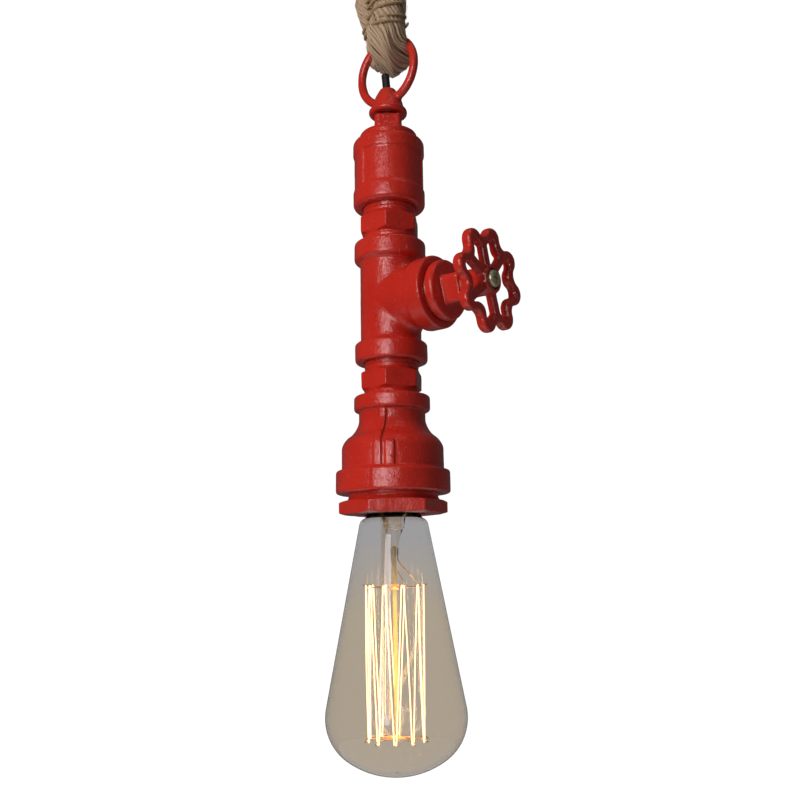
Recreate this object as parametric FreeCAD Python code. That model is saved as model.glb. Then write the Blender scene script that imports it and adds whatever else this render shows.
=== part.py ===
import FreeCAD, Part
import math
import os
from FreeCAD import Vector

# Pendant lamp of red pipe fittings on a jute rope.
# Millimetres. The origin is at the centre of the ceiling face, +Z is up and the tee's branch points along +X.

# Fits
RUN_FIT = 0.05
SOFT_GAP = 0.3

# Ceiling fitting
SWING_DROP = 106.5
ROSE_RADIUS = 50.0
ROSE_HEIGHT = 32.0
ROSE_WALL = 1.5
ROSE_ROUND = 6.0
BAR_WIDTH = 16.0
BAR_THICK = 2.0
BAR_TAB = 12.0
BAR_HOLE_SPACING = 76.0
BAR_HOLE_RADIUS = 2.25
ROSE_SCREW_RADIUS = 2.0
ROSE_SCREW_HEAD_RADIUS = 3.6
ROSE_SCREW_HEAD = 2.0
ROSE_SCREW_DEPTH = 7.0
COLLAR_RADIUS = 11.0
COLLAR_HEIGHT = 16.0
COLLAR_FLANGE_RADIUS = 15.0
COLLAR_FLANGE = 2.0
COLLAR_NUT_FLATS = 28.0
COLLAR_NUT_HEIGHT = 4.0
COLLAR_SCREW_RADIUS = 2.0
COLLAR_SCREW_RISE = 11.0
COLLAR_SCREW_DROP = ROSE_HEIGHT - COLLAR_SCREW_RISE
TERMINAL_LENGTH = 18.0
TERMINAL_WIDTH = 16.0
TERMINAL_HEIGHT = 9.0
TERMINAL_OFFSET = 14.0
TERMINAL_PITCH = 7.0
TERMINAL_SCREW_RADIUS = 1.6
TERMINAL_SCREW_EDGE = 2.6
TERMINAL_SCREW_HEAD_RADIUS = 2.3
TERMINAL_SCREW_HEAD = 1.2
TERMINAL_CLAMP_DEPTH = 3.5
TERMINAL_CLAMP_SUNK = 0.4
TERMINAL_CABLE_ENTRY = 6.0
ROSE_CABLE_SHORT = 1.0
TERMINAL_FAR_RADIUS = 1.5
TERMINAL_FAR_START = 4.5

# Rope, its binding and the feed cable
ROPE_RADIUS = 8.0
ROPE_TOP = -16.5
ROPE_SLANT = 22.5
ROPE_SLANT_RADIUS = 50.0
ROPE_LEG_GAP = 0.4
BIGHT_RADIUS = 12.6
BIGHT_GAP = 0.5
BIGHT_TURN = 20.0
PINCH_RADIUS = 10.0
PINCH_ANGLE = 30.0
ROPE_TAIL = 14.5
TWINE_RADIUS = 0.8
TWINE_PITCH = 2.5
TWINE_TURNS = 5
TWINE_START = 15.2
CABLE_RADIUS = 2.0
CABLE_TOP_GAP = 0.3
CABLE_TAIL = 2.0
CONDUCTOR_RADIUS = 0.9
CONDUCTOR_OFFSET = 1.0
CONDUCTOR_STRAIGHT = 26.0
CONDUCTOR_UPPER_BEND = (3.0, 1.5, 56.0)
CONDUCTOR_LOWER_BEND = (3.4, 1.0, 40.0)
CONDUCTOR_END_RUN = 20.0

# Cast eye and its threaded tube
RING_RADIUS = 17.0
RING_WIRE = 2.2
EYE_STEM = 24.5
EYE_FOOT_RADIUS = 9.75
EYE_DOME_HEIGHT = 14.2
EYE_DOME_TOP_RADIUS = 3.8
EYE_FOOT_HEIGHT = 3.4
EYE_WEB_ROUND = 1.6
WIREWAY_RADIUS = 2.6
EYE_GAP = 1.0
EYE_TUBE_ENTRY = 8.0
TUBE_RADIUS = 5.0
TUBE_BORE = 3.25
TUBE_TAIL = 8.0
LOCK_NUT_FLATS = 14.0
LOCK_NUT_HEIGHT = 4.0
GRIP_RADIUS = 7.5
GRIP_HEIGHT = 16.0
GRIP_SCREW_RADIUS = 1.5

# Pipe fittings, three quarter inch thread unless said otherwise
THREAD_RADIUS = 13.05
THREAD_PITCH = 1.814
THREAD_ENTRY = 12.0
PLUG_ENTRY = 13.0
HEAD_WIDTH = 14.0
HEAD_TAPER = 0.6
HEAD_HEIGHT = 9.3
HEAD_ROUND = 2.2
BEAD_RADIUS = 14.4
BEAD_HEIGHT = 4.4
BEAD_ROUND = 2.0
TOP_HEAD_TURN = 39.0
COUPLING_LENGTH = 35.4
COUPLING_BODY_RADIUS = 17.1
COUPLING_BAND_RADIUS = 17.75
COUPLING_TOP_BAND = 7.5
COUPLING_LOW_BAND = 8.5
COUPLING_ROUND = 2.5
COUPLING_BLEND = 1.2
COUPLING_RIB_TURNS = (-101.0, 17.0)
RIB_WIDTH = 2.2
NIPPLE_BORE = 10.0
NIPPLE_FLATS = 26.6
NIPPLE_CHAMFER = 0.8
UPPER_HEX_HEIGHT = 9.1
UPPER_HEX_TURN = -58.0
UPPER_THREAD_ABOVE = 4.8
UPPER_THREAD_BELOW = 4.0
LOWER_HEX_HEIGHT = 8.8
LOWER_HEX_TURN = -62.0
LOWER_THREAD_ABOVE = 4.5
LOWER_THREAD_BELOW = 2.9
TEE_REACH = 30.0
TEE_BODY_RADIUS = 14.65
TEE_BAND_RADIUS = 17.45
TEE_ROUND = 1.2
TEE_BLEND = 1.5
TEE_CROTCH = 4.85
TEE_CROTCH_SHARE = 0.9
TEE_BAND = TEE_REACH - TEE_BODY_RADIUS - TEE_CROTCH - TEE_BLEND
TEE_SOCKET = 16.0
TEE_WATERWAY = 11.5
BRANCH_THREAD_GAP = 1.2
BRANCH_HEAD_TURN = 17.0

# Reducing socket and bushing, one and a quarter inch thread at the bottom
REDUCER_HEIGHT = 46.3
REDUCER_TOP_BAND_RADIUS = 18.15
REDUCER_TOP_BAND = 7.3
REDUCER_NECK_RADIUS = 15.8
REDUCER_NECK_DROP = 15.0
REDUCER_BELL_RADIUS = 24.05
REDUCER_BELL_DROP = 23.6
REDUCER_LOW_BAND_RADIUS = 26.9
REDUCER_LOW_BAND = 10.9
REDUCER_NECK_BORE = 12.2
REDUCER_BELL_WALL = 7.0
REDUCER_BAND_ROUND = 1.3
REDUCER_CORNER_ROUND = 1.0
REDUCER_RIB_TURN = -67.7
REDUCER_RIB_WIDTH = 3.5
REDUCER_BOSS_TURN = -54.3
REDUCER_BOSS_WIDTH = 4.0
REDUCER_RIB_RISE = 0.8
REDUCER_MISMATCH = 0.45
REDUCER_MISMATCH_INSET = 0.15
BIG_THREAD_RADIUS = 21.4
BIG_THREAD_PITCH = 2.309
BIG_THREAD_GAP = 3.0
BUSHING_HEX_HEIGHT = 6.5
BUSHING_FLATS = 44.5
BUSHING_TURN = -77.0
BUSHING_WALL = 4.0
BUSHING_ENTRY = 14.5
BUSHING_LIP_RADIUS = 15.15
BUSHING_LIP = 3.0

# Handwheel on the branch plug
WHEEL_TIP_RADIUS = 25.0
WHEEL_VALLEY_RADIUS = 19.8
WHEEL_LOBE_RADIUS = 5.4
WHEEL_INNER_TIP = 19.8
WHEEL_INNER_VALLEY = 15.0
WHEEL_INNER_LOBE = 2.6
WHEEL_LOBES = 8
WHEEL_LOBE_TURN = 38.0
WHEEL_RIM_DEPTH = 5.2
WHEEL_RIM_ROUND = 1.8
WHEEL_RIM_STEP = 0.8
SPOKE_TURNS = (50.0, 106.0, 155.0, 217.0, 288.0)
SPOKE_WIDTH = 4.2
SPOKE_DEPTH = 4.0
SPOKE_ROUND = 1.0
HUB_RADIUS = 6.6
HUB_DEPTH = 14.1
HUB_ROUND = 1.2
HUB_RECESS_RADIUS = 4.8
HUB_RECESS = 2.4
WHEEL_BUSH_RADIUS = 3.0
WHEEL_BUSH_BORE = 2.1
BACK_WASHER_RADIUS = 5.8
BACK_WASHER = 0.7
WHEEL_PLAY = 0.15
FRONT_WASHER_RADIUS = 4.4
FRONT_WASHER = 0.8
WHEEL_SCREW_RADIUS = 1.95
WHEEL_SCREW_HEAD_RADIUS = 4.0
WHEEL_SCREW_HEAD = 2.6
WHEEL_SCREW_ENTRY = 9.0
CROSS_WIDTH = 1.1
CROSS_REACH = 2.3
CROSS_DEPTH = 1.5

# Lampholder
HOLDER_RECESS = 3.3
HOLDER_FLANGE_RADIUS = 19.2
HOLDER_FLANGE = 5.5
HOLDER_BOSS_RADIUS = 13.0
HOLDER_BOSS = 6.0
HOLDER_RING_HEIGHT = 2.0
HOLDER_RING_GAP = 0.6
HOLDER_FLOOR = 27.0
SHELL_WALL = 0.95
SHELL_LIP = 0.5
SHELL_ROOF = 0.6
CONTACT_RADIUS = 4.6
CONTACT_TIP_RADIUS = 1.6
CONTACT_FLANGE = 0.8
CONTACT_STRAP_WIDTH = 3.0
RIVET_RADIUS = 1.5
TERMINAL_POST_RADIUS = 2.5
TERMINAL_POST_HEIGHT = 5.5
TERMINAL_POST_OFFSET = 8.6
TERMINAL_WIRE_SHIFT = 0.6
TERMINAL_WIRE_FLOOR = 1.5
CLAMP_SCREW_RADIUS = 0.9
CLAMP_SCREW_DROP = 1.8

# Bulb
BULB_RADIUS = 32.0
BULB_WIDEST = 90.2
BULB_HALF_DEPTH = 25.2
BULB_SIDE_ROUND = 22.0
BULB_CONE_ANGLE = 10.8
BULB_SHOULDER = 4.4
BULB_NECK_RADIUS = 13.4
BULB_NECK_DROP = 1.6
BULB_NECK_BULGE = 0.5
BULB_NECK_TOP = 0.6
BULB_COLLAR_RADIUS = 12.2
BULB_COLLAR = 5.0
GLASS_WALL = 0.8
CAP_RADIUS = 13.1
CAP_WALL = 0.5
CAP_HEIGHT = 21.0
CAP_CHAMFER = 1.5
CAP_INSULATOR = 2.9
CAP_INSULATOR_SUNK = 1.0
CAP_INSULATOR_BORE = 1.2
CAP_CONTACT_RADIUS = 4.8
CAP_CONTACT = 1.4
CAP_CONTACT_ROUND = 1.0
CAP_CLEARANCE = 0.1
STEM_PRESS_DEPTH = 18.6
STEM_THROAT_DEPTH = 6.0
STEM_THROAT_RADIUS = 5.0
STEM_PRESS_RADIUS = 2.2
STEM_PRESS_HEIGHT = 6.0
STEM_ROD_ENTRY = 4.0
UPPER_SUPPORT_DEPTH = 33.2
SUPPORT_PAST_WIDEST = 9.0
LOWER_SUPPORT_DEPTH = BULB_WIDEST + SUPPORT_PAST_WIDEST
SUPPORT_ROD_RADIUS = 0.9
SUPPORT_ROD_TIP = 0.5
SUPPORT_WIRE = 0.25
SUPPORT_BEAD_RADIUS = 1.6
SUPPORT_BEAD = 2.4
SUPPORT_REACH = 14.6
HOOK_REACH = 1.5
HOOK_DROP = 1.2
LEAD_OFFSET = 1.45
EXHAUST_RADIUS = 1.9
EXHAUST_WALL = 0.7
EXHAUST_OFFSET = 4.2
EXHAUST_TURN = 219.0
EXHAUST_TOP = 4.0
EXHAUST_SHORT = 8.2
EXHAUST_DEPTH = LOWER_SUPPORT_DEPTH - EXHAUST_SHORT
FILAMENT_RADIUS = 0.25
FILAMENT_TOP_RADIUS = 13.3
FILAMENT_LOW_RADIUS = 12.9
FILAMENT_FACE = -51.0
FILAMENT_STEP = 36.0
FILAMENT_FIRST = 123.0
FILAMENT_LEGS = 18
FILAMENT_HOOK_GAP = 1.0
FILAMENT_HOOK_TURN = 2.2

# Heights, from the ceiling down
Z_SWING = -SWING_DROP
Z_RING = Z_SWING - RING_RADIUS
Z_EYE_FOOT = Z_RING - EYE_STEM
Z_HEAD_TOP = Z_EYE_FOOT - EYE_GAP
Z_COUPLING_TOP = Z_HEAD_TOP - HEAD_HEIGHT - BEAD_HEIGHT
Z_COUPLING_LOW = Z_COUPLING_TOP - COUPLING_LENGTH
Z_UPPER_HEX_TOP = Z_COUPLING_LOW - UPPER_THREAD_ABOVE
Z_UPPER_HEX_LOW = Z_UPPER_HEX_TOP - UPPER_HEX_HEIGHT
Z_TEE_TOP = Z_UPPER_HEX_LOW - UPPER_THREAD_BELOW
Z_BRANCH = Z_TEE_TOP - TEE_REACH
Z_TEE_LOW = Z_BRANCH - TEE_REACH
Z_LOWER_HEX_TOP = Z_TEE_LOW - LOWER_THREAD_ABOVE
Z_LOWER_HEX_LOW = Z_LOWER_HEX_TOP - LOWER_HEX_HEIGHT
Z_REDUCER_TOP = Z_LOWER_HEX_LOW - LOWER_THREAD_BELOW
Z_REDUCER_LOW = Z_REDUCER_TOP - REDUCER_HEIGHT
Z_BUSHING_HEX_TOP = Z_REDUCER_LOW - BIG_THREAD_GAP
Z_MOUTH = Z_BUSHING_HEX_TOP - BUSHING_HEX_HEIGHT
Z_BUSHING_TOP = Z_REDUCER_LOW + BUSHING_ENTRY
Z_HOLDER_FLANGE_TOP = Z_BUSHING_TOP + HOLDER_FLANGE
Z_HOLDER_RING_TOP = Z_HOLDER_FLANGE_TOP + HOLDER_RING_HEIGHT
Z_HOLDER_TOP = Z_HOLDER_FLANGE_TOP + HOLDER_BOSS
Z_HOLDER_FLOOR = Z_MOUTH + HOLDER_FLOOR
Z_TUBE_TOP = Z_EYE_FOOT + EYE_TUBE_ENTRY
Z_PLUG_LOW = Z_COUPLING_TOP - PLUG_ENTRY
Z_NUT_LOW = Z_PLUG_LOW - LOCK_NUT_HEIGHT
Z_GRIP_LOW = Z_NUT_LOW - GRIP_HEIGHT
Z_TUBE_LOW = Z_NUT_LOW - TUBE_TAIL
Z_CABLE_LOW = Z_GRIP_LOW - CABLE_TAIL
SOCKET_RADIUS = THREAD_RADIUS + RUN_FIT
BIG_SOCKET_RADIUS = BIG_THREAD_RADIUS + RUN_FIT
HOLDER_RADIUS = BIG_THREAD_RADIUS - BUSHING_WALL
SHELL_RADIUS = CAP_RADIUS + RUN_FIT + SHELL_WALL
X_BEAD = TEE_REACH + BRANCH_THREAD_GAP
X_HEAD_END = X_BEAD + BEAD_HEIGHT + HEAD_HEIGHT


def arc(start, middle, end):
    return Part.Arc(start, middle, end).toShape()


def line(start, end):
    return Part.LineSegment(start, end).toShape()


def lathe(start, *steps):
    """Solid turned about Z. A step is a point (r, z), or a pair of points for an arc through the first."""
    edges = []
    here = Vector(start[0], 0, start[1])
    first = here
    for step in steps:
        if isinstance(step[0], tuple):
            middle = Vector(step[0][0], 0, step[0][1])
            there = Vector(step[1][0], 0, step[1][1])
            edges.append(arc(here, middle, there))
        else:
            there = Vector(step[0], 0, step[1])
            edges.append(line(here, there))
        here = there
    if here.distanceToPoint(first) > 1e-6:
        edges.append(line(here, first))
    return Part.Face(Part.Wire(edges)).revolve(Vector(0, 0, 0), Vector(0, 0, 1), 360)


def rod(radius, low, high, x=0.0, y=0.0):
    return Part.makeCylinder(radius, high - low, Vector(x, y, low))


def ring(outer, inner, low, high):
    return rod(outer, low, high).cut(rod(inner, low - 1, high + 1))


def block(x_size, y_size, low, high, x=0.0, y=0.0):
    return Part.makeBox(x_size, y_size, high - low, Vector(x - x_size / 2, y - y_size / 2, low))


def turned(shape, degrees, centre=Vector(0, 0, 0), axis=Vector(0, 0, 1)):
    copy = shape.copy()
    copy.rotate(centre, axis, degrees)
    return copy


def soften(shape, radius, *places):
    """Round the circular edges that lie about Z at the given (r, z) places."""
    edges = []
    for edge in shape.Edges:
        curve = edge.Curve
        if isinstance(curve, Part.Circle) and abs(curve.Axis.z) > 0.999:
            for r, z in places:
                if abs(curve.Radius - r) < 1e-3 and abs(curve.Center.z - z) < 1e-3:
                    edges.append(edge)
    return shape.makeFillet(radius, edges)


def hexagon(flats, low, high, vertex_turn, chamfer):
    """Hexagon prism whose corners are chamfered at both ends, with a vertex at the given angle."""
    corner = flats / math.sqrt(3)
    points = []
    for k in range(7):
        angle = math.radians(vertex_turn + 60 * k)
        points.append(Vector(corner * math.cos(angle), corner * math.sin(angle), low))
    prism = Part.Face(Part.makePolygon(points)).extrude(Vector(0, 0, high - low))
    edge = flats / 2 + chamfer * 0.5
    cone = lathe((0, low), (edge, low), (corner + 0.1, low + chamfer), (corner + 0.1, high - chamfer),
                 (edge, high), (0, high))
    return prism.common(cone)


def thread_grooves(radius, pitch, low, high):
    """Ring grooves that show as the exposed turns of a thread."""
    count = max(1, int((high - low) / pitch))
    start = low + (high - low - count * pitch) / 2
    depth = pitch * 0.45
    grooves = []
    for k in range(count):
        z = start + pitch * (k + 0.5)
        grooves.append(lathe((radius + 0.5, z - depth), (radius + 0.5, z + depth), (radius - depth, z)))
    return grooves[0].multiFuse(grooves[1:]) if count > 1 else grooves[0]


def swept(edges, radius):
    """Round tube along tangent edges, and its section times the path's length to compare with its volume."""
    path = Part.Wire(edges)
    start = edges[0].valueAt(edges[0].FirstParameter)
    heading = edges[0].tangentAt(edges[0].FirstParameter)
    profile = Part.Wire(Part.Circle(start, heading, radius).toShape())
    shell = Part.BRepOffsetAPI.MakePipeShell(path)
    shell.add(profile)
    shell.build()
    shell.makeSolid()
    solid = shell.shape()
    if solid.Volume < 0:
        solid.reverse()
    return solid, path.Length * math.pi * radius ** 2


def cord(name, points, radius):
    """Tube along straight runs with an arc at each corner, as large as the two runs allow."""
    edges = []
    here = points[0]
    radii = []
    for before, corner, after in zip(points, points[1:], points[2:]):
        back = (before - corner).normalize()
        ahead = (after - corner).normalize()
        turn = math.pi - back.getAngle(ahead)
        reach = 0.45 * min(before.distanceToPoint(corner), after.distanceToPoint(corner))
        bend = reach / math.tan(turn / 2)
        enter = corner + back * reach
        leave = corner + ahead * reach
        inward = (back + ahead).normalize()
        middle = corner + inward * (bend / math.cos(turn / 2) - bend)
        edges.append(line(here, enter))
        edges.append(arc(enter, middle, leave))
        radii.append(round(bend, 1))
        here = leave
    edges.append(line(here, points[-1]))
    solid, expected = swept(edges, radius)
    print(name, "bend radii", radii, "volume ratio %.4f" % (solid.Volume / expected))
    return solid


def on_branch(shape, x=0.0):
    """Carry a piece from its own +Z axis onto the branch axis: its X goes to Y and its Y to Z."""
    placed = turned(shape, 120, axis=Vector(1, 1, 1))
    placed.translate(Vector(x, 0, Z_BRANCH))
    return placed


def bight_direction():
    """Level direction from the standing leg of the rope to its tail."""
    angle = math.radians(BIGHT_TURN - 90)
    return Vector(math.cos(angle), math.sin(angle), 0)


def terminal_screw_places():
    """Two screws hold the block: one beside the cable's way in, one at the far end between the wire ways."""
    near = TERMINAL_OFFSET + TERMINAL_SCREW_EDGE
    far = TERMINAL_OFFSET + TERMINAL_LENGTH - TERMINAL_SCREW_EDGE
    return (near, TERMINAL_WIDTH / 2 - TERMINAL_SCREW_EDGE), (far, 0)


def ceiling_mounting_bar():
    span = ROSE_RADIUS - ROSE_WALL
    plate = block(2 * span - 2, BAR_WIDTH, -BAR_THICK, 0)
    for side in (-1, 1):
        tab = block(BAR_THICK, BAR_WIDTH, -BAR_TAB, 0, side * (span - 1 - BAR_THICK / 2))
        plate = plate.fuse(tab)
        plate = plate.cut(rod(BAR_HOLE_RADIUS, -BAR_THICK - 1, 1, side * BAR_HOLE_SPACING / 2))
    hole = Part.makeCylinder(ROSE_SCREW_RADIUS + RUN_FIT, 2 * ROSE_RADIUS,
                             Vector(-ROSE_RADIUS, 0, -ROSE_SCREW_DEPTH), Vector(1, 0, 0))
    plate = plate.cut(hole)
    for x, y in terminal_screw_places():
        plate = plate.cut(rod(TERMINAL_SCREW_RADIUS + RUN_FIT, -BAR_THICK - 1, 1, x, y))
    return plate.removeSplitter()


def ceiling_rose():
    inner = ROSE_RADIUS - ROSE_WALL
    floor = -ROSE_HEIGHT
    round_in = ROSE_ROUND - ROSE_WALL
    slope = math.sqrt(0.5)
    hole = COLLAR_RADIUS + RUN_FIT
    outer_mid = (ROSE_RADIUS - ROSE_ROUND + ROSE_ROUND * slope, floor + ROSE_ROUND - ROSE_ROUND * slope)
    inner_mid = (ROSE_RADIUS - ROSE_ROUND + round_in * slope, floor + ROSE_ROUND - round_in * slope)
    shell = lathe((inner, 0), (ROSE_RADIUS, 0), (ROSE_RADIUS, floor + ROSE_ROUND),
                  (outer_mid, (ROSE_RADIUS - ROSE_ROUND, floor)), (hole, floor), (hole, floor + ROSE_WALL),
                  (ROSE_RADIUS - ROSE_ROUND, floor + ROSE_WALL), (inner_mid, (inner, floor + ROSE_ROUND)))
    screw_way = Part.makeCylinder(ROSE_SCREW_RADIUS + RUN_FIT, 2 * ROSE_RADIUS + 4,
                                  Vector(-ROSE_RADIUS - 2, 0, -ROSE_SCREW_DEPTH), Vector(1, 0, 0))
    return shell.cut(screw_way)


def rose_screws():
    screws = []
    for side in (-1, 1):
        outward = Vector(side, 0, 0)
        seat = Vector(side * ROSE_RADIUS, 0, -ROSE_SCREW_DEPTH)
        shank = Part.makeCylinder(ROSE_SCREW_RADIUS, ROSE_WALL + BAR_THICK + 4, seat, outward * -1)
        head = Part.makeCylinder(ROSE_SCREW_HEAD_RADIUS, ROSE_SCREW_HEAD, seat - outward * 0.1, outward)
        slot = Part.makeBox(2, 1, 2 * ROSE_SCREW_HEAD_RADIUS,
                            Vector(seat.x + side * ROSE_SCREW_HEAD - 1, -0.5, seat.z - ROSE_SCREW_HEAD_RADIUS))
        screws.append(shank.fuse(head.cut(rod(ROSE_RADIUS, -ROSE_HEIGHT, 0))).cut(slot))
    return Part.makeCompound(screws)


def terminal_block():
    low = -BAR_THICK - TERMINAL_HEIGHT
    centre = TERMINAL_OFFSET + TERMINAL_LENGTH / 2
    body = block(TERMINAL_LENGTH, TERMINAL_WIDTH, low, -BAR_THICK, centre)
    for x, y in terminal_screw_places():
        body = body.cut(rod(TERMINAL_SCREW_RADIUS + RUN_FIT, low - 1, 0, x, y))
    level = low + TERMINAL_HEIGHT / 2
    cable_way = Part.makeCylinder(CABLE_RADIUS + RUN_FIT, TERMINAL_CABLE_ENTRY,
                                  Vector(TERMINAL_OFFSET, 0, level), Vector(1, 0, 0))
    for side in (-1, 1):
        y = side * TERMINAL_PITCH / 2
        far_way = Part.makeCylinder(TERMINAL_FAR_RADIUS, TERMINAL_LENGTH / 2 - TERMINAL_FAR_START,
                                    Vector(centre + TERMINAL_FAR_START, y, level), Vector(1, 0, 0))
        clamp_way = rod(TERMINAL_SCREW_RADIUS + RUN_FIT, low - 1, low + TERMINAL_CLAMP_DEPTH, centre, y)
        body = body.cut(far_way).cut(clamp_way)
    return body.cut(cable_way)


def terminal_block_screws():
    low = -BAR_THICK - TERMINAL_HEIGHT
    centre = TERMINAL_OFFSET + TERMINAL_LENGTH / 2
    screws = []
    for x, y in terminal_screw_places():
        head = rod(TERMINAL_SCREW_HEAD_RADIUS, low - TERMINAL_SCREW_HEAD, low, x, y)
        screws.append(rod(TERMINAL_SCREW_RADIUS, low, 0, x, y).fuse(head))
    for side in (-1, 1):
        screws.append(rod(TERMINAL_SCREW_RADIUS, low + TERMINAL_CLAMP_SUNK, low + TERMINAL_CLAMP_DEPTH, centre,
                          side * TERMINAL_PITCH / 2))
    return Part.makeCompound(screws)


def rope_collar():
    low = -ROSE_HEIGHT
    bore = ROPE_RADIUS + RUN_FIT
    collar = lathe((bore, low - COLLAR_FLANGE), (COLLAR_FLANGE_RADIUS - 0.8, low - COLLAR_FLANGE),
                   (COLLAR_FLANGE_RADIUS, low - COLLAR_FLANGE + 0.8), (COLLAR_FLANGE_RADIUS, low),
                   (COLLAR_RADIUS, low), (COLLAR_RADIUS, low + COLLAR_HEIGHT), (bore, low + COLLAR_HEIGHT))
    screw_way = Part.makeCylinder(COLLAR_SCREW_RADIUS + RUN_FIT, 4 * COLLAR_RADIUS,
                                  Vector(0, -2 * COLLAR_RADIUS, -COLLAR_SCREW_DROP), Vector(0, 1, 0))
    return collar.cut(screw_way)


def collar_nut():
    low = -ROSE_HEIGHT + ROSE_WALL
    nut = hexagon(COLLAR_NUT_FLATS, low, low + COLLAR_NUT_HEIGHT, 0, 1.0)
    return nut.cut(rod(COLLAR_RADIUS + RUN_FIT, low - 1, low + COLLAR_NUT_HEIGHT + 1))


def collar_set_screws():
    screws = []
    for side in (-1, 1):
        seat = Vector(0, side * (ROPE_RADIUS + RUN_FIT), -COLLAR_SCREW_DROP)
        length = COLLAR_RADIUS - ROPE_RADIUS + 0.6
        body = Part.makeCylinder(COLLAR_SCREW_RADIUS, length, seat, Vector(0, side, 0))
        slot = block(2 * COLLAR_SCREW_RADIUS, 1.6, -COLLAR_SCREW_DROP - 0.4, -COLLAR_SCREW_DROP + 0.4, 0,
                     seat.y + side * length)
        screws.append(body.cut(slot))
    return Part.makeCompound(screws)


class Trail:
    """Tangent lines and arcs drawn by walking in the upright plane of the rope's bight."""

    def __init__(self, across, up, heading):
        self.across = across
        self.up = up
        self.heading = math.radians(heading)
        self.edges = []
        self.plane = bight_direction()

    def place(self, across, up):
        point = self.plane * across
        point.z = up
        return point

    def walk(self, length):
        start = self.place(self.across, self.up)
        self.across += length * math.cos(self.heading)
        self.up += length * math.sin(self.heading)
        self.edges.append(line(start, self.place(self.across, self.up)))

    def bend(self, radius, degrees):
        side = math.copysign(1, degrees)
        centre_across = self.across - side * radius * math.sin(self.heading)
        centre_up = self.up + side * radius * math.cos(self.heading)
        pieces = 1 + int(abs(degrees) // 120)
        for _ in range(pieces):
            points = [self.place(self.across, self.up)]
            for _ in range(2):
                self.heading += math.radians(degrees) / pieces / 2
                self.across = centre_across + side * radius * math.sin(self.heading)
                self.up = centre_up - side * radius * math.cos(self.heading)
                points.append(self.place(self.across, self.up))
            self.edges.append(arc(*points))


def leg_offset():
    return ROPE_RADIUS + ROPE_LEG_GAP / 2


def bight_height():
    return Z_SWING - RING_WIRE - BIGHT_GAP - ROPE_RADIUS + BIGHT_RADIUS


def pinch_run():
    """Length of the straight stretch between the bight and the bend where the legs close up."""
    angle = math.radians(PINCH_ANGLE)
    spare = BIGHT_RADIUS * math.cos(angle) - leg_offset() - PINCH_RADIUS * (1 - math.cos(angle))
    return spare / math.sin(angle)


def legs_height():
    """Height from which the two legs run side by side."""
    angle = math.radians(PINCH_ANGLE)
    return (bight_height() + (BIGHT_RADIUS + PINCH_RADIUS) * math.sin(angle)
            + pinch_run() * math.cos(angle))


def rope():
    slant = math.radians(ROPE_SLANT)
    shift = leg_offset() - 2 * ROPE_SLANT_RADIUS * (1 - math.cos(slant))
    slant_run = shift / math.sin(slant)
    slant_drop = 2 * ROPE_SLANT_RADIUS * math.sin(slant) + slant_run * math.cos(slant)
    tail_top = legs_height() + ROPE_TAIL
    trail = Trail(0, ROPE_TOP, -90)
    trail.walk(ROPE_TOP - tail_top - slant_drop)
    trail.bend(ROPE_SLANT_RADIUS, -ROPE_SLANT)
    trail.walk(slant_run)
    trail.bend(ROPE_SLANT_RADIUS, ROPE_SLANT)
    trail.walk(ROPE_TAIL)
    trail.bend(PINCH_RADIUS, -PINCH_ANGLE)
    trail.walk(pinch_run())
    trail.bend(BIGHT_RADIUS, 180 + 2 * PINCH_ANGLE)
    trail.walk(pinch_run())
    trail.bend(PINCH_RADIUS, -PINCH_ANGLE)
    trail.walk(ROPE_TAIL)
    solid, expected = swept(trail.edges, ROPE_RADIUS)
    print("rope bend radii", [ROPE_SLANT_RADIUS, PINCH_RADIUS, BIGHT_RADIUS],
          "length %.1f" % Part.Wire(trail.edges).Length, "volume ratio %.4f" % (solid.Volume / expected))
    return solid


def biarc(start, start_heading, end, end_heading):
    """Two arcs that leave start and reach end along the given unit headings."""
    gap = end - start
    both = start_heading + end_heading
    a = 2 * (1 - start_heading.dot(end_heading))
    b = gap.dot(both)
    reach = (-b + math.sqrt(b * b + a * gap.dot(gap))) / a
    enter = start + start_heading * reach
    leave = end - end_heading * reach
    joint = (enter + leave) * 0.5
    pieces = []
    for first, corner, last in ((start, enter, joint), (joint, leave, end)):
        chord_middle = (first + last) * 0.5
        half = first.distanceToPoint(last) / 2
        height = corner.distanceToPoint(chord_middle)
        sagitta = half * (math.sqrt(half ** 2 + height ** 2) - half) / height
        middle = chord_middle + (corner - chord_middle).normalize() * sagitta
        pieces.append(arc(first, middle, last))
    return pieces


def twine_point(quarter, low):
    """Point and heading after so many quarter stretches of the binding, and whether a straight follows."""
    wrap = ROPE_RADIUS + SOFT_GAP + TWINE_RADIUS
    straight = 2 * leg_offset()
    bend = wrap * math.pi / 2
    loop_length = 4 * bend + 2 * straight
    rate = TWINE_PITCH / loop_length
    marks = ((leg_offset(), -wrap, 0), (leg_offset() + wrap, 0, 90), (leg_offset(), wrap, 180),
             (-leg_offset(), wrap, 180), (-leg_offset() - wrap, 0, 270), (-leg_offset(), -wrap, 360))
    travelled = (0, bend, 2 * bend, 2 * bend + straight, 3 * bend + straight, 4 * bend + straight)
    loop, step = divmod(quarter, 6)
    across, side, heading = marks[step]
    length = loop * loop_length + travelled[step]
    along = bight_direction()
    beside = Vector(-along.y, along.x, 0)
    point = along * across + beside * side
    point.z = low + length * rate
    angle = math.radians(heading)
    tangent = along * math.cos(angle) + beside * math.sin(angle) + Vector(0, 0, rate)
    return point, tangent.normalize(), step in (2, 5)


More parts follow.
